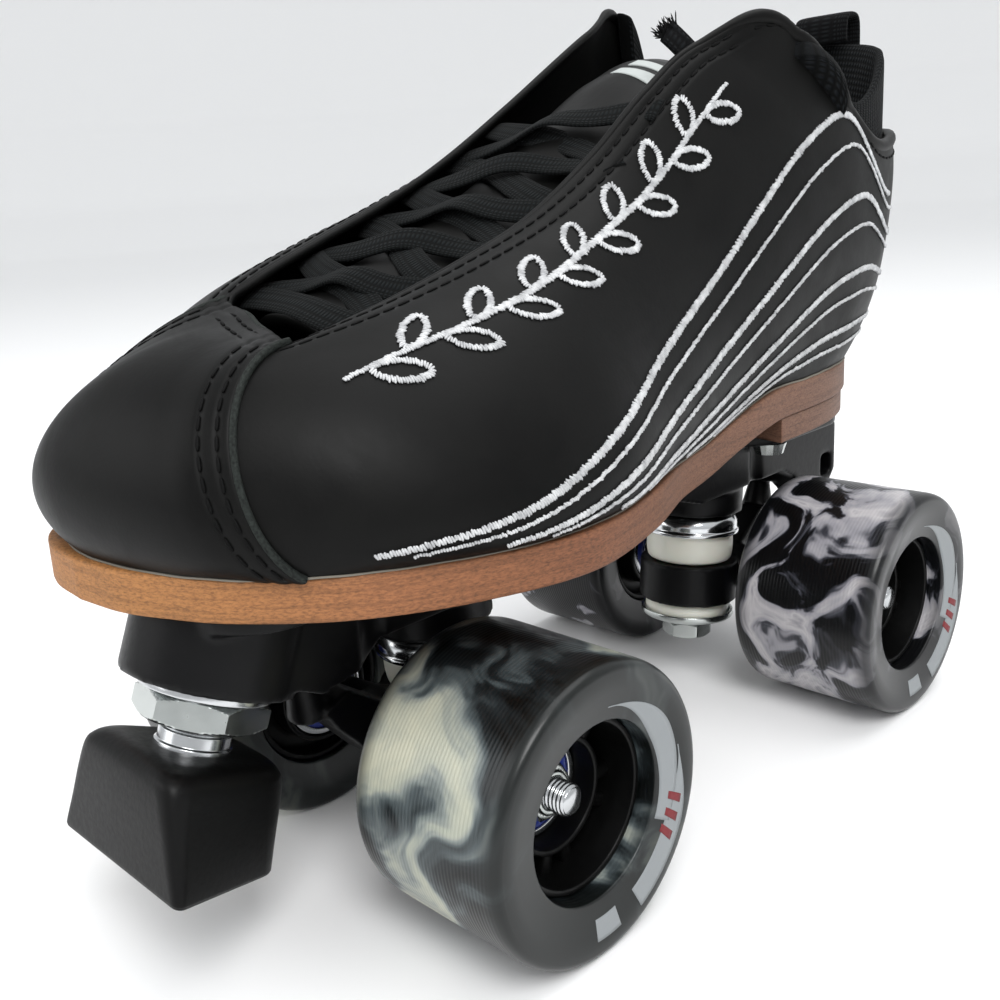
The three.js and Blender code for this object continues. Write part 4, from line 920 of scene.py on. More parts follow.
def tongue_point(x, y, depth=0.0):
    """Upper face of the tongue: a crown across the foot, tipped with the two eyestay edges."""
    x, y = np.broadcast_arrays(np.asarray(x, float), np.asarray(y, float))
    a, b = edge_at("outer", x), edge_at("inner", x)
    tip = (a[..., 2] - b[..., 2]) / (a[..., 1] - b[..., 1])
    z = (a[..., 2] + b[..., 2]) / 2 - 3.3 - 11 * (y / 26) ** 2 + tip * (y - (a[..., 1] + b[..., 1]) / 2)
    return np.stack([x - depth * 0.55, y, z - depth * 0.83], -1)


def tongue():
    """Soft leather tongue, thinning from 5 mm in the middle to its sides, its free end rounded over."""
    along, across = np.linspace(85, -41, 150), np.linspace(-1, 1, 61)
    tip = np.sqrt(1 - 0.5 * smoothstep((-33 - along) / 8) ** 2)
    half = 22 * (0.72 + 0.28 * smoothstep((84 - along) / 60)) * tip
    x, share = along[:, None], across[None]
    y = share * half[:, None]
    folds = 0.35 * np.sin(x / 4.1 + 0.8 * np.sin(y / 5)) * np.exp(-(y / 12) ** 2)
    thin = 2.4 * np.abs(share) ** 6 + 1.2 * smoothstep((-36 - x) / 5)
    top = tongue_point(x, y, thin - folds * 0.6)
    low = tongue_point(x, y, 5 - thin * 0.8 - 1.0 * smoothstep((-36 - x) / 5))
    piece("tongue_leather", shell(top, low, (126, 44)), LEATHER, "tongue")
    for k, start in enumerate((-17.5, -25.0)):
        t, w = np.meshgrid(np.linspace(0, 1, 30), np.linspace(0, 1, 8), indexing="ij")
        x = start - 4.4 * w - 5 * t
        y = 15.5 - 17 * t
        print_top, print_low = tongue_point(x, y, -0.35), tongue_point(x, y, 0.3)
        piece(f"tongue_stripe_{k}", shell(print_top, print_low), REFLECTIVE)


# Places along the foot of the lace's rows, and its width and thickness.
LACE_ROWS = [80, 62, 44, 27, 12, -4]
LACE_WIDTH, LACE_THICKNESS = 7.0, 1.3


def lace_run(x_outer, x_inner, hump, twist):
    """One flat run of lace from under the outer eyestay over the tongue to under the inner one."""
    s = np.linspace(0, 1, 70)
    a, b = edge_at("outer", x_outer), edge_at("inner", x_inner)
    a, b = a + [0, 3.5, -5.0], b + [0, -3.5, -5.0]
    path = a * (1 - s[:, None]) + b * s[:, None]
    path[:, 0] += 1.6 * np.sin(2 * np.pi * s) * twist
    path[:, 2] += 2.1 * np.clip(np.sin(np.pi * s), 0, 1) ** 0.45 + hump * np.exp(-((s - 0.5) / 0.17) ** 2)
    slope = unit(np.array([0.52, 0, 0.85]))
    up = slope + np.stack([0.22 * twist * np.sin(2 * np.pi * s + 1), 0.5 * (0.5 - s), 0 * s], -1)
    return sweep(path, up, flat_section(LACE_WIDTH, LACE_THICKNESS, 3.2, 22))


def lace():
    """Criss-cross lacing with a straight bar at the toe, two crossings deep in the middle of each row."""
    parts = []
    for k in range(len(LACE_ROWS) - 1):
        twist = 1 if k % 2 else -1
        here, there = LACE_ROWS[k], LACE_ROWS[k + 1]
        parts.append(tube(lace_run(here, there, 0.6, twist), (60, 16)))
        parts.append(tube(lace_run(there, here, 2.6, -twist), (60, 16)))
    bar = lace_run(LACE_ROWS[0] + 2, LACE_ROWS[0] + 2, 0.3, 0.4)
    parts.append(tube(bar, (45, 16)))
    piece("woven_lace", merged(parts), LACE_WEAVE, "lace")


# ------------------------------------------------------------------ collar and pull loop
# Height of the padding above the leather at the back, how far the simulation may move a point, and its
# number of steps.
COLLAR_RISE, SWELL_LIMIT, SWELL_STEPS = 27.0, 2.5, 15


def collar_pad():
    """Foam collar under ribbed mesh: a ring inside the leather round the ankle that rises at the back,
    swollen by a cloth simulation whose outer face stays put against the leather."""
    rows = np.linspace(OUTER_TOP + 0.9, INNER_TOP - 0.8, 86)
    share = np.linspace(0, 1, 17)
    level = 0.62 + 0.38 * np.clip(share / 0.6, 0, 1)
    rise = 1 + (COLLAR_RISE - 1) * np.exp(-(((rows - BACK_SEAM) / 2) ** 4))
    lift = np.clip((share - 0.6) / 0.4, 0, 1)[None] * rise[:, None]
    base, normal = skin(rows[:, None], level[None]), skin_normal(rows[:, None], level[None])
    up = np.stack([np.zeros_like(lift), np.zeros_like(lift), lift], -1)
    outer = base - normal * (LEATHER_THICKNESS + 0.9) + up
    depth = LEATHER_THICKNESS + 1 + 4.6 * np.sin(np.pi * np.clip(0.12 + 0.8 * share, 0, 1))[None] ** 0.6
    inner = base - normal * depth[..., None] + up
    obj = piece("collar_padding_mesh", shell(outer, inner, (190, 110)), RIB_MESH, "collar_padding")
    rest = vertices_of(obj)
    flat_outer = (outer.reshape(-1, 3) + [SHIFT, 0, 0]) * MM
    near = np.min(np.sum((rest[:, None] - flat_outer[None]) ** 2, -1), 1) < 1e-10
    hold = obj.vertex_groups.new(name="against_leather")
    hold.add(np.nonzero(near)[0].tolist(), 1.0, "REPLACE")
    cloth = obj.modifiers.new("padding", "CLOTH")
    cloth.settings.use_pressure = True
    cloth.settings.uniform_pressure_force = 3.0
    cloth.settings.effector_weights.gravity = 0
    cloth.settings.vertex_group_mass = "against_leather"
    cloth.settings.quality = 5
    scene = bpy.context.scene
    for step in range(1, SWELL_STEPS + 1):
        scene.frame_set(step)
    apply_modifiers(obj)
    move = vertices_of(obj) - rest
    size = np.linalg.norm(move, axis=1, keepdims=True)
    move *= np.minimum(1, SWELL_LIMIT * MM / np.maximum(size, 1e-9))
    obj.data.vertices.foreach_set("co", (rest + move).ravel())
    scene.frame_set(1)
    return soften(obj)


def soften(obj):
    """One level of subdivision."""
    levels = obj.modifiers.new("round", "SUBSURF")
    levels.levels = levels.render_levels = 1
    return obj


def pull_loop():
    """Webbing loop behind the collar: up the back, over, and down to the top of the padding."""
    low, high = (np.array(corner) / MM - [SHIFT, 0, 0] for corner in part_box("pull_loop"))
    x, top = low[0], high[2]
    path = smooth_path([(x + 0.8, 0, top - 28), (x + 0.8, 0, top - 16), (x + 0.7, 0, top - 7),
                        (x + 1.6, 0, top - 2), (x + 5, 0, top - 0.8), (x + 8.4, 0, top - 2),
                        (x + 9.2, 0, top - 6), (x + 9.0, 0, top - 9)], 70)
    band = sweep(path, np.array([0, 1, 0]), flat_section(1.5, 17.6, 5, 28))
    piece("pull_loop_webbing", tube(band, (48, 38)), WEBBING, "pull_loop")


# ------------------------------------------------------------------ sole
SOLE_OUTER = [(132.5, -13), (131, 0), (127.5, 10), (121, 23), (107, 39), (87, 51), (62, 57.5), (35, 52),
              (10, 42.5), (-15, 37), (-45, 35), (-80, 32), (-104, 21), (-113, 0)]
SOLE_INNER = [(132.5, -13), (131, -26), (126, -37), (116, -45.5), (100, -49.5), (80, -48.5), (55, -45),
              (28, -38), (3, -33), (-20, -31), (-50, -31), (-80, -32), (-104, -21), (-113, 0)]


def sole_slab(inset, profile, count=200, keep=None):
    """A slab that follows the sole. The two side curves are joined across; profile lists
    (extra inset, height function) from the middle of the underside round the edge to the top."""
    t = np.linspace(0, 1, count)
    outer = catmull(SOLE_OUTER, t * (len(SOLE_OUTER) - 1))
    inner = catmull(SOLE_INNER, t * (len(SOLE_INNER) - 1))
    loop = np.concatenate([outer, inner[-2:0:-1]])
    closed = np.concatenate([loop, loop[:1]])
    length = lengths(closed)
    loop = at_lengths(np.linspace(0, length[-1], 2 * count, endpoint=False), length, closed)
    tangent = unit(np.roll(loop, -2, 0) - np.roll(loop, 2, 0))
    inward = np.stack([-tangent[:, 1], tangent[:, 0]], -1)
    if ((loop[0] + loop[len(loop) // 2]) / 2 - loop[5]) @ inward[5] < 0:
        inward = -inward
    spine_y = np.interp(loop[:, 0], [-110, 0, 60, 130], [0, 3, 5, -8])
    spine = np.stack([np.clip(loop[:, 0], -85, 105), spine_y], -1)
    rings = []
    for extra, toward, height in profile:
        ring = loop + inward * (inset + extra)
        ring = ring * (1 - toward) + spine * toward
        if keep is not None:
            cut_off = ring[:, 0] > -47
            ring[:, 1] = np.where(cut_off, np.clip(ring[:, 1], -30.0, 34.0), ring[:, 1])
            ring[:, 0] = np.minimum(ring[:, 0], keep(ring[:, 1]))
        rings.append(np.concatenate([ring, height(ring[:, 0])[:, None]], -1))
    return np.stack(rings, 1)


def edge_profile(bottom, top, round_by=0.7):
    """Underside, rounded lower edge, side wall, rounded upper edge and top, for sole_slab."""
    arc = np.linspace(0, np.pi / 2, 4)
    steps = [(0, w, bottom) for w in (1.0, 0.66, 0.33, 0.08)]
    steps += [(round_by * (1 - math.sin(a)), 0, lambda x, a=a: bottom(x) + round_by * (1 - math.cos(a)))
              for a in arc]
    steps += [(0, 0, lambda x, s=s: bottom(x) + round_by + (top(x) - bottom(x) - 2 * round_by) * s)
              for s in (0.2, 0.4, 0.6, 0.8)]
    steps += [(round_by * (1 - math.cos(a)), 0, lambda x, a=a: top(x) - round_by * (1 - math.sin(a)))
              for a in arc]
    steps += [(0, w, top) for w in (0.08, 0.33, 0.66, 1.0)]
    return steps


def sole():
    """Outsole, a pale line of cement where the upper meets it, the heel lift and the footbed."""
    slab = sole_slab(0, edge_profile(sole_underside, sole_top))
    piece("outsole_leather", tile(slab, close_u=True), SOLE, "outsole")
    breast = lambda y: -47 - 5 * (1 - (np.asarray(y) / 34) ** 2)
    lift = sole_slab(0.8, edge_profile(lambda x: SOLE_BOTTOM + 0 * x,
                                       lambda x: sole_underside(x) - 0.15, 0.4), 140, breast)
    piece("heel_lift_leather", tile(lift, close_u=True), SOLE, "heel_lift")
    rows = np.linspace(0, ROUND, 700, endpoint=False)
    line = on_skin(rows, 0.0, 0.1)
    wobble = 0.25 * np.sin(rows * 9) * np.sin(rows * 3.7)
    line[:, 2] = sole_top(line[:, 0]) + 0.15 + wobble * 0.4
    cement = sweep(line, np.array([0, 0, 1]), flat_section(0.9, 0.55, 2, 8), closed=True)
    piece("cement_line", tile(cement, close_u=True, close_v=True), GLUE)
    bed = sole_slab(5.2, edge_profile(lambda x: sole_top(x) + 0.6, lambda x: sole_top(x) + 3.4, 0.8), 120)
    piece("footbed_cloth", tile(bed, close_u=True), RIB_MESH, "footbed")


# ------------------------------------------------------------------ hardware shapes
def corner_of(node, origin, axis):
    """Direction from an axis to the corner of a CAD hexagon that lies farthest from it."""
    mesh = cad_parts[node].data
    points = np.empty(len(mesh.vertices) * 3)
    mesh.vertices.foreach_get("co", points)
    away = points.reshape(-1, 3) / MM - [SHIFT, 0, 0] - origin
    away -= (away @ axis)[:, None] * axis
    return unit(away[np.argmax(np.linalg.norm(away, axis=1))])


def hexagon_nut(node, origin, axis, flats, height, bore, sides=96):
    """A chamfered hexagon nut: at each angle the wall is half the flats over the cosine of the angle from
    the nearest flat, and a 30 degree cone takes off its corners."""
    origin, axis = np.array(origin, float), unit(np.array(axis, float))
    ahead = corner_of(node, origin, axis)
    across = np.cross(axis, ahead)
    angle = np.linspace(0, 2 * np.pi, sides, endpoint=False)
    wall = flats / 2 / np.cos(angle % (np.pi / 3) - np.pi / 6)
    chamfer = flats * 0.05
    levels = np.concatenate([[0, 0, 0], np.linspace(0.02, chamfer, 6),
                             np.linspace(chamfer * 1.05, height / 2, 3)])
    cone = flats / 2 * 0.985 + levels / chamfer * flats * 0.0925
    inner = np.array([bore + 0.5, flats * 0.3, flats * 0.46] + [99.0] * (len(levels) - 3))
    half = np.minimum(np.minimum(wall[:, None], cone[None]), inner[None])
    bore_line = np.full((sides, 1), bore)
    radius = np.concatenate([bore_line, half, half[:, ::-1], bore_line], 1)
    heights = np.concatenate([[0.4], levels, height - levels[::-1], [height - 0.4]])
    ring = ahead * np.cos(angle)[:, None] + across * np.sin(angle)[:, None]
    grid = origin + ring[:, None] * radius[..., None] + axis * heights[None, :, None]
    return tile(grid, close_u=True, close_v=True)


def threaded_rod(origin, axis, radius, length, pitch, depth=0.55, sides=40, chamfer=0.8):
    """A screw: the radius dips by a cosine of height over pitch less angle over a turn."""
    rows = max(int(length / pitch * 9), 12)
    height = np.linspace(0, length, rows)
    angle = np.linspace(0, 2 * np.pi, sides, endpoint=False)
    phase = height[None] / pitch - angle[:, None] / (2 * np.pi)
    r = radius - depth * (0.5 + 0.5 * np.cos(2 * np.pi * phase))
    r = np.minimum(r, radius - chamfer * smoothstep((height - length + chamfer) / chamfer)[None])
    unit_axis = unit(np.array(axis, float))
    ahead = unit(np.cross(unit_axis, [0.31, 0.87, 0.38]))
    across = np.cross(unit_axis, ahead)
    ring = ahead * np.cos(angle)[:, None] + across * np.sin(angle)[:, None]
    grid = np.array(origin, float) + ring[:, None] * r[..., None] + unit_axis * height[None, :, None]
    return tube(np.swapaxes(grid, 0, 1))


def ring_part(profile, origin, axis, sides=64):
    """A turned ring from a closed profile."""
    return tile(turned(profile, origin, axis, sides), close_u=True, close_v=True)


# ------------------------------------------------------------------ wheels
# The tyre's radius and half width, the radius of its inner lip and of its shoulder, and half the lip's width.
WHEEL_RADIUS, HALF_WHEEL, LIP, SHOULDER, HALF_LIP = 31.0, 20.0, 18.6, 27.0, 18


def tyre_profile():
    """Cast urethane ring: turned flat tread, round shoulders, dished side lips."""
    tread = WHEEL_RADIUS - 0.05
    corners = [(LIP, -HALF_LIP), (SHOULDER, -HALF_WHEEL), (tread, -HALF_WHEEL + 0.4), (tread, -10),
               (tread, 10), (tread, HALF_WHEEL - 0.4), (SHOULDER, HALF_WHEEL), (LIP, HALF_LIP)]
    return rounded(corners, [0.5, 2.2, 3.4, 1, 1, 3.4, 2.2, 0.5], 8)


SPOKE_PAIRS = 5


def spokes(origin, out):
    """Five pairs of prongs with a slot between: boxes from the barrel to the ring, rounded."""
    parts = []
    for k in range(SPOKE_PAIRS):
        for offset in (-11.5, 11.5):
            a = math.radians(360 / SPOKE_PAIRS * k + 54 + offset)
            direction = np.array([math.cos(a), 0, math.sin(a)])
            path = np.linspace(11.6, 17.6, 8)[:, None] * direction + np.array(origin, float)
            path = path + np.array([0, out * -3.5, 0])
            grid = sweep(path, np.array([0, 1, 0]), flat_section(3.6, 21, 6, 20))
            parts.append(tube(grid))
    return parts


def wheel(end, side):
    """Tyre, hub, two shielded bearings, printed arcs and the axle nut of one wheel."""
    sign = 1 if side == "left" else -1
    x = AXLE_X[end]
    origin, axis = np.array([x, sign * WHEEL_MIDDLE, AXLE_Z]), np.array([0, sign, 0])
    body, tag = f"wheel_{end}_{side}", f"{end}_{side}"
    urethane = URETHANE_FRONT if end == "front" else URETHANE_REAR
    piece(f"tyre_urethane_{tag}", ring_part(tyre_profile(), origin, axis, 144), urethane, f"tyre_{tag}",
          body=body)
    barrel = rounded([(11.3, -4.9), (8.5, -5.2), (8.5, -12.1), (11.3, -12.4), (11.3, -19.5),
                      (12.6, -19.5), (12.6, 8), (11.3, 8)], 0.35, 3)
    ring = rounded([(16.9, -17), (18.3, -17), (18.3, 14), (16.9, 14)], 0.4, 3)
    plate_in = rounded([(12, -14), (17.4, -14), (17.4, -12.6), (12, -12.6)], 0.3, 2)
    hub = [ring_part(barrel, origin, axis, 64), ring_part(ring, origin, axis, 72),
           ring_part(plate_in, origin, axis, 64)]
    piece(f"hub_nylon_{tag}", merged(hub + spokes(origin, sign)), HUB_NYLON, f"hub_{tag}", body=body)
    for place, face, outward in (("outer", 2.5, 1), ("inner", -19.5, -1)):
        base = origin + axis * face
        races = [rounded([(9.4, 0), (10.95, 0), (10.95, -7), (9.4, -7)], 0.3, 3) * [1, outward],
                 rounded([(3.9, 0), (5.6, 0), (5.6, -7), (3.9, -7)], 0.3, 3) * [1, outward]]
        shield = rounded([(5.7, -0.5), (9.3, -0.35), (9.3, -6.5), (5.7, -6.5)], 0.2, 2) * [1, outward]
        piece(f"bearing_races_{place}_{tag}", merged([ring_part(p, base, axis) for p in races]), STEEL,
              f"bearing_{place}_{tag}", body=body)
        piece(f"bearing_shield_{place}_{tag}", ring_part(shield, base, axis), SHIELD, body=body)
    printed_arcs(tag, body, origin, sign)
    axle_body = f"{end}_truck"
    nut_from = origin + axis * 2.8
    piece(f"axle_nut_{tag}_hex", hexagon_nut(f"axle_nut_{tag}", nut_from, axis, 11, 3.2, 3.6), ZINC,
          f"axle_nut_{tag}", body=axle_body)
    collar = rounded([(3.4, 3.1), (4.9, 3.1), (4.5, 4.0), (3.4, 4.0)], 0.2, 2)
    piece(f"axle_nut_{tag}_lock", ring_part(collar, nut_from, axis, 48), ZINC, body=axle_body)


def printed_arcs(tag, body, origin, sign):
    """Plain pad-printed sickles, one block and three short bars on the dished side of the tyre."""
    sickles = [(98, 208, 21.8, 5.2, 0.0, 0.75), (168, 248, 24.9, 4.4, 0.0, 1.0),
               (262, 278, 24.2, 4.2, 1.0, 1.0)]
    parts = []
    for first, last, middle, width, start, finish in sickles:
        t, w = np.meshgrid(np.linspace(0, 1, 50), np.linspace(0, 1, 6), indexing="ij")
        swell = start + (1 - start) * smoothstep(t / 0.5)
        swell = swell * (1 - (1 - finish) * smoothstep((t - 0.5) / 0.5))
        angle = np.radians(first + (last - first) * t)
        parts.append(lip_patch(middle + (w - 0.5) * width * np.maximum(swell, 0.04), angle, origin, sign))
    piece(f"tyre_print_{tag}", merged(parts), PRINT_GREY, body=body)
    bars = []
    for k in range(3):
        t, w = np.meshgrid(np.linspace(0, 1, 5), np.linspace(0, 1, 5), indexing="ij")
        angle = np.radians(192 + 9 * k + 4.2 * t)
        bars.append(lip_patch(22.2 + 3.4 * w, angle + 0.04 * w, origin, sign, 0.16))
    piece(f"tyre_bars_{tag}", merged(bars), PRINT_RED, body=body)


def lip_patch(radius, angle, origin, sign, proud=0.1):
    """A thin patch on the tyre's dished side: its width out follows the cone between lip and shoulder."""
    out = HALF_LIP + (radius - LIP) * (HALF_WHEEL - HALF_LIP) / (SHOULDER - LIP)
    def face(height):
        return np.stack([origin[0] + radius * np.cos(angle), origin[1] + sign * (out + height)
                         + 0 * angle, origin[2] + radius * np.sin(angle)], -1)
    return shell(face(proud), face(-0.4))


# ------------------------------------------------------------------ trucks
KINGPIN_X, RING_Z, TILT = WHEEL_BASE / 2 - 17, 31.0, math.radians(5)
KINGPIN_RADIUS, AXLE_RADIUS, HALF_AXLE = 4.0, 3.5, 45


def on_kingpin(end):
    """Origin and axis of the kingpin stack, with its origin in the middle of the hanger's ring."""
    sign = 1 if end == "front" else -1
    return np.array([sign * KINGPIN_X, 0, RING_Z]), np.array([sign * math.sin(TILT), 0, math.cos(TILT)])


def squeeze(cushion):
    """Bakes the cushion's placement into its mesh."""
    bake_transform(cushion)


def truck(end):
    """Hanger, cushions, their cups, kingpin and its nut, axle with threaded ends."""
    origin, axis = on_kingpin(end)
    moulded(f"hanger_nylon_{end}", f"hanger_{end}", 0.6, 7, f"{end}_truck")
    upper = rounded([(4.3, 6.35), (12.2, 6.35), (12.8, 9.0), (12.7, 13.4), (12.2, 18.9), (4.3, 18.9)],
                    [0.2, 1.0, 2, 2, 1, 0.2], 5)
    made = piece(f"cushion_urethane_upper_{end}", ring_part(upper, origin, axis, 80), CUSHION,
                 f"cushion_upper_{end}", body=None)
    squeeze(made)
    lower = rounded([(4.3, -11.5), (11.8, -11.5), (12.6, -9), (12.2, -6.2), (4.3, -6.2)],
                    [0.2, 1, 1.6, 1.2, 0.2], 5)
    made = piece(f"cushion_urethane_lower_{end}", ring_part(lower, origin, axis, 80), CUSHION,
                 f"cushion_lower_{end}", body=None)
    squeeze(made)
    cup = rounded([(4.3, 19.3), (11.2, 19.3), (12.75, 18.2), (12.75, 14.9), (14.3, 14.9), (14.3, 15.9),
                   (13.8, 16.4), (13.8, 18.6), (12.2, 20.8), (4.3, 20.8)],
                  [0.1, 0.8, 0.6, 0.1, 0.4, 0.4, 0.3, 1.2, 1.2, 0.1], 6)
    piece(f"chromed_cup_upper_{end}", ring_part(cup, origin, axis, 96), CHROME,
          f"cushion_cup_upper_{end}")
    cup = rounded([(4.3, -11.8), (9.6, -11.8), (12.7, -10.9), (12.7, -9.3), (13.8, -9.3), (13.8, -11.3),
                   (9.4, -12.6), (8.2, -13.4), (4.3, -13.4)],
                  [0.1, 0.6, 0.6, 0.2, 0.4, 1.2, 0.5, 0.5, 0.1], 5)
    piece(f"zinc_cup_lower_{end}", ring_part(cup, origin, axis, 96), ZINC, f"cushion_cup_lower_{end}")
    nut = hexagon_nut(f"kingpin_nut_{end}", origin + axis * -18.1, axis, 12.7, 4.4, 4.1)
    piece(f"kingpin_nut_hex_{end}", nut, ZINC, f"kingpin_nut_{end}")
    pin = [threaded_rod(origin + axis * -13.4, -axis, KINGPIN_RADIUS, 5.5, 1.25, depth=0.5),
           threaded_rod(origin + axis * 39.9, -axis, KINGPIN_RADIUS - 0.02, 53.6, 60, depth=0.0,
                        chamfer=0.1)]
    piece(f"kingpin_steel_{end}", merged(pin), STEEL, f"kingpin_{end}")
    x = AXLE_X[end]
    bar = [threaded_rod([x, -HALF_AXLE, AXLE_Z], [0, 1, 0], AXLE_RADIUS, 2 * HALF_AXLE, 100, depth=0.0,
                        chamfer=0.1)]
    bar += [threaded_rod([x, s * (HALF_AXLE - 0.2), AXLE_Z], [0, s, 0], AXLE_RADIUS, 10.7, 1.0,
                         depth=0.45) for s in (1, -1)]
    piece(f"axle_steel_{end}", merged(bar), STEEL, f"axle_{end}", body=f"{end}_truck")


# ------------------------------------------------------------------ toe stop
# The toe stop's slant, the middle of the plate's face under its boss, and the stem's radius and pitch.
STOP_ANGLE = math.radians(22.5)
STOP_ORIGIN = np.array([114.7, 0, 57.9])
STOP_AXIS = np.array([math.sin(STOP_ANGLE), 0, -math.cos(STOP_ANGLE)])
STOP_AHEAD = np.array([math.cos(STOP_ANGLE), 0, math.sin(STOP_ANGLE)])
STEM_RADIUS, STEM_PITCH = 7.8, 2.309


def block_grid():
    """The rubber block: rounded outlines stacked along the stem, wide in front and narrow behind, with
    soft shoulders above and a crisp cut foot."""
    levels = [  # distance down the stem, front, back, half width in front, half width behind, corner radius
        (13.25, 8.5, -9.5, 11.0, 8.0, 5.0), (13.3, 11.3, -12.2, 13.8, 10.2, 6.0),
        (13.8, 13.2, -14.2, 15.9, 12.0, 6.5), (15.0, 14.6, -15.7, 17.5, 13.2, 6.5),
        (17.0, 15.2, -16.6, 18.6, 13.8, 6.0), (22.0, 14.5, -17.5, 19.7, 13.1, 5.0),
        (29.0, 13.0, -18.6, 21.3, 11.9, 4.0), (35.2, 11.7, -19.7, 22.8, 10.8, 3.0),
        (36.2, 11.4, -19.8, 22.8, 10.6, 2.8), (36.7, 11.0, -19.5, 22.5, 10.3, 2.6),
        (36.85, 10.2, -18.7, 21.7, 9.6, 2.4),
    ]
    rings = []
    for down, front, back, half_front, half_back, radius in levels:
        corners = [(front, -half_front), (front, half_front), (back, half_back), (back, -half_back)]
        ring = rounded(corners, [radius, radius, radius + 2, radius + 2], 14)
        rings.append(np.concatenate([ring, np.full((len(ring), 1), down)], 1))
    at = np.linspace(0, len(rings) - 1, 60)
    fine = catmull(np.stack(rings).reshape(len(rings), -1), at).reshape(60, -1, 3)
    across = np.array([0.0, 1.0, 0.0])
    return STOP_ORIGIN + fine[..., :1] * STOP_AHEAD + fine[..., 1:2] * across + fine[..., 2:] * STOP_AXIS


def toe_stop():
    """Rubber block, screwed stem, jam nut and washer on one slanted axis."""
    piece("toe_stop_rubber_block", tube(block_grid()), STOP_RUBBER, "toe_stop_block",
          body="toe_stop_rubber")
    thread_part = threaded_rod(STOP_ORIGIN + STOP_AXIS * -9.2, STOP_AXIS, STEM_RADIUS, 17.0, STEM_PITCH,
                               depth=0.9, sides=64, chamfer=1.6)
    neck = rounded([(0.5, 7.7), (7.2, 7.7), (7.2, 9.3), (6.9, 9.6), (7.4, 9.9), (7.4, 12.2),
                    (7.9, 12.5), (7.9, 24.0), (0.5, 24.0)], 0.15, 3)
    piece("toe_stop_screw_steel", merged([thread_part, ring_part(neck, STOP_ORIGIN, STOP_AXIS, 72)]),
          STEEL, "toe_stop_stem", body="toe_stop_screw")
    washer = rounded([(8.3, 0.3), (13.5, 0.3), (13.5, 1.9), (8.3, 1.9)], 0.35, 4)
    piece("toe_stop_washer_steel", ring_part(washer, STOP_ORIGIN, STOP_AXIS, 96), STEEL,
          "toe_stop_washer")
    nut = hexagon_nut("toe_stop_jam_nut", STOP_ORIGIN + STOP_AXIS * 2.2, STOP_AXIS, 24, 5.8, 8.3, 192)
    sharpen(piece("toe_stop_nut_hex", nut, ZINC, "toe_stop_jam_nut"), 24)


def strap_end():
    """The frayed end of a webbing strap that stands up behind the top of the outer eyestay."""
    base = on_skin(8.82, 0.955, -3.6)
    rise = unit(skin(8.82, 1.0) - skin(8.82, 0.9) + [2, 0, 6])
    across = unit(skin(9.1, 1.0) - skin(8.5, 1.0))
    sway = 0.7 * np.sin(np.linspace(0, 2, 14))
    path = base + rise * np.linspace(0, 13, 14)[:, None] + across * sway[:, None]
    band = sweep(path, np.cross(rise, across), flat_section(6.5, 1.3, 4, 16))
    parts = [tube(band, (13, 14))]
    count = 70
    start = path[-2] + across * (rng.uniform(-3.2, 3.2, count))[:, None]
    aim = unit(rise + across * rng.normal(0, 0.45, count)[:, None] + rng.normal(0, 0.35, (count, 3)))
    length = rng.uniform(2.0, 5.0, count)
    parts.append(capsules(start + aim * length[:, None] * 0.4, aim,
                          np.broadcast_to(across + 0.01, aim.shape), length, 0.35, 0.35))
    piece("frayed_strap_end", merged(parts), WEBBING)


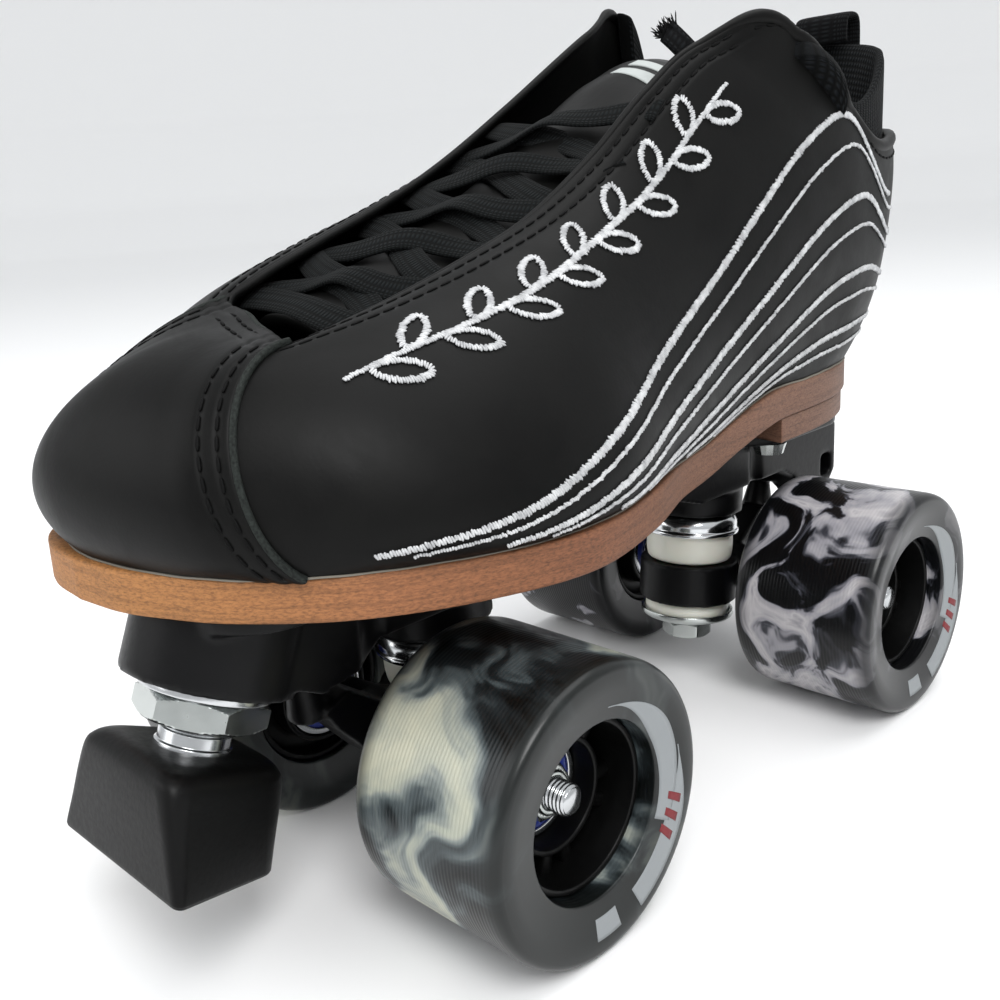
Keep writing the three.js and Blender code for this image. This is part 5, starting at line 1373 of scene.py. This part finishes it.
# ------------------------------------------------------------------ studio
def studio():
    """Pale floor that curves up into a backdrop all round, and three soft lights."""
    material = plain("pale_studio_floor", "#f3f3f3", 0.9, 30, 0.01)
    profile = np.array([(0.0, 0), (900, 0), (2600, 0), (3000, 30), (3350, 150), (3600, 400),
                        (3700, 800), (3720, 1500)])
    profile = np.stack([np.interp(np.linspace(0, 7, 60), range(8), profile[:, k]) for k in range(2)], -1)
    angle = np.linspace(0, 2 * np.pi, 96, endpoint=False)
    grid = np.stack([profile[None, :, 0] * np.cos(angle)[:, None],
                     profile[None, :, 0] * np.sin(angle)[:, None],
                     np.broadcast_to(profile[None, :, 1], (96, 60))], -1) * MM
    points, faces, _ = tile(grid, close_u=True)
    mesh = bpy.data.meshes.new("studio_floor")
    mesh.from_pydata(points.tolist(), [], [f for group in faces for f in group.tolist()])
    mesh.polygons.foreach_set("use_smooth", np.ones(len(mesh.polygons), bool))
    mesh.materials.append(material)
    floor = bpy.data.objects.new("studio_floor", mesh)
    bpy.context.scene.collection.objects.link(floor)
    world = bpy.data.worlds.new("studio_air")
    world.use_nodes = True
    world.node_tree.nodes["Background"].inputs[0].default_value = linear("#f4f6f8")
    world.node_tree.nodes["Background"].inputs[1].default_value = 0.92
    bpy.context.scene.world = world
    for name, place, aim, size, power in (("key", (0.55, 0.75, 1.1), (0.02, 0, 0.1), 0.6, 12),
                                          ("top", (-0.25, 0.1, 1.3), (0, 0, 0.1), 1.0, 7),
                                          ("fill", (0.9, -0.5, 0.6), (0.05, 0, 0.08), 0.7, 3)):
        lamp = bpy.data.lights.new(name, "AREA")
        lamp.shape, lamp.size, lamp.energy = "SQUARE", size, power
        obj = bpy.data.objects.new(name, lamp)
        place, aim = np.array(place), np.array(aim)
        obj.location = place
        obj.rotation_euler = Vector(aim - place).to_track_quat("-Z", "Y").to_euler()
        bpy.context.scene.collection.objects.link(obj)


CAMERA_PLACE = (217.8, 185.8, 150.1)
CAMERA_YAW, CAMERA_PITCH, CAMERA_ROLL = -133.07, -14.55, -3.82


def camera():
    """Camera at the height of the collar, in front of the toe's outer side."""
    yaw, pitch, roll = (math.radians(a) for a in (CAMERA_YAW, CAMERA_PITCH, CAMERA_ROLL))
    ahead = np.array([math.cos(pitch) * math.cos(yaw), math.cos(pitch) * math.sin(yaw), math.sin(pitch)])
    right = unit(np.cross(ahead, [0, 0, 1]))
    up = np.cross(right, ahead)
    x = right * math.cos(roll) + up * math.sin(roll)
    y = up * math.cos(roll) - right * math.sin(roll)
    data = bpy.data.cameras.new("camera")
    data.lens, data.sensor_width = 40.0, 36.0
    data.shift_x, data.shift_y = 0.0487, -0.0234
    data.clip_start = 0.01
    obj = bpy.data.objects.new("camera", data)
    place = (np.array(CAMERA_PLACE) + [SHIFT, 0, 0]) * MM
    obj.matrix_world = Matrix([[*(m[k] for m in (x, y, -ahead)), place[k]] for k in range(3)]
                                 + [[0, 0, 0, 1]])
    bpy.context.scene.collection.objects.link(obj)
    bpy.context.scene.camera = obj
    bpy.context.scene.view_settings.view_transform = "Standard"


def dress(node, material):
    """A CAD node that stays as it is and takes a finish."""
    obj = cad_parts[node]
    obj.data.materials.clear()
    obj.data.materials.append(material)


camera()
studio()
toe_cap()
quarter("quarter_leather_outer", "quarter_outer", OUTER_SEAM - 0.22, BACK_SEAM - 0.01)
quarter("quarter_leather_inner", "quarter_inner", BACK_SEAM + 0.01, INNER_SEAM + 0.22)
rim_roll()
seam_stitching()
embroidery()
tongue()
lace()
collar_pad()
pull_loop()
strap_end()
sole()
moulded("plate_nylon", "plate", 0.75, 6)
for end in ENDS:
    truck(end)
    dress(f"pivot_cup_{end}", NYLON)
    for side in SIDES:
        wheel(end, side)
        dress(f"mounting_bolt_{end}_{side}", ZINC)
toe_stop()
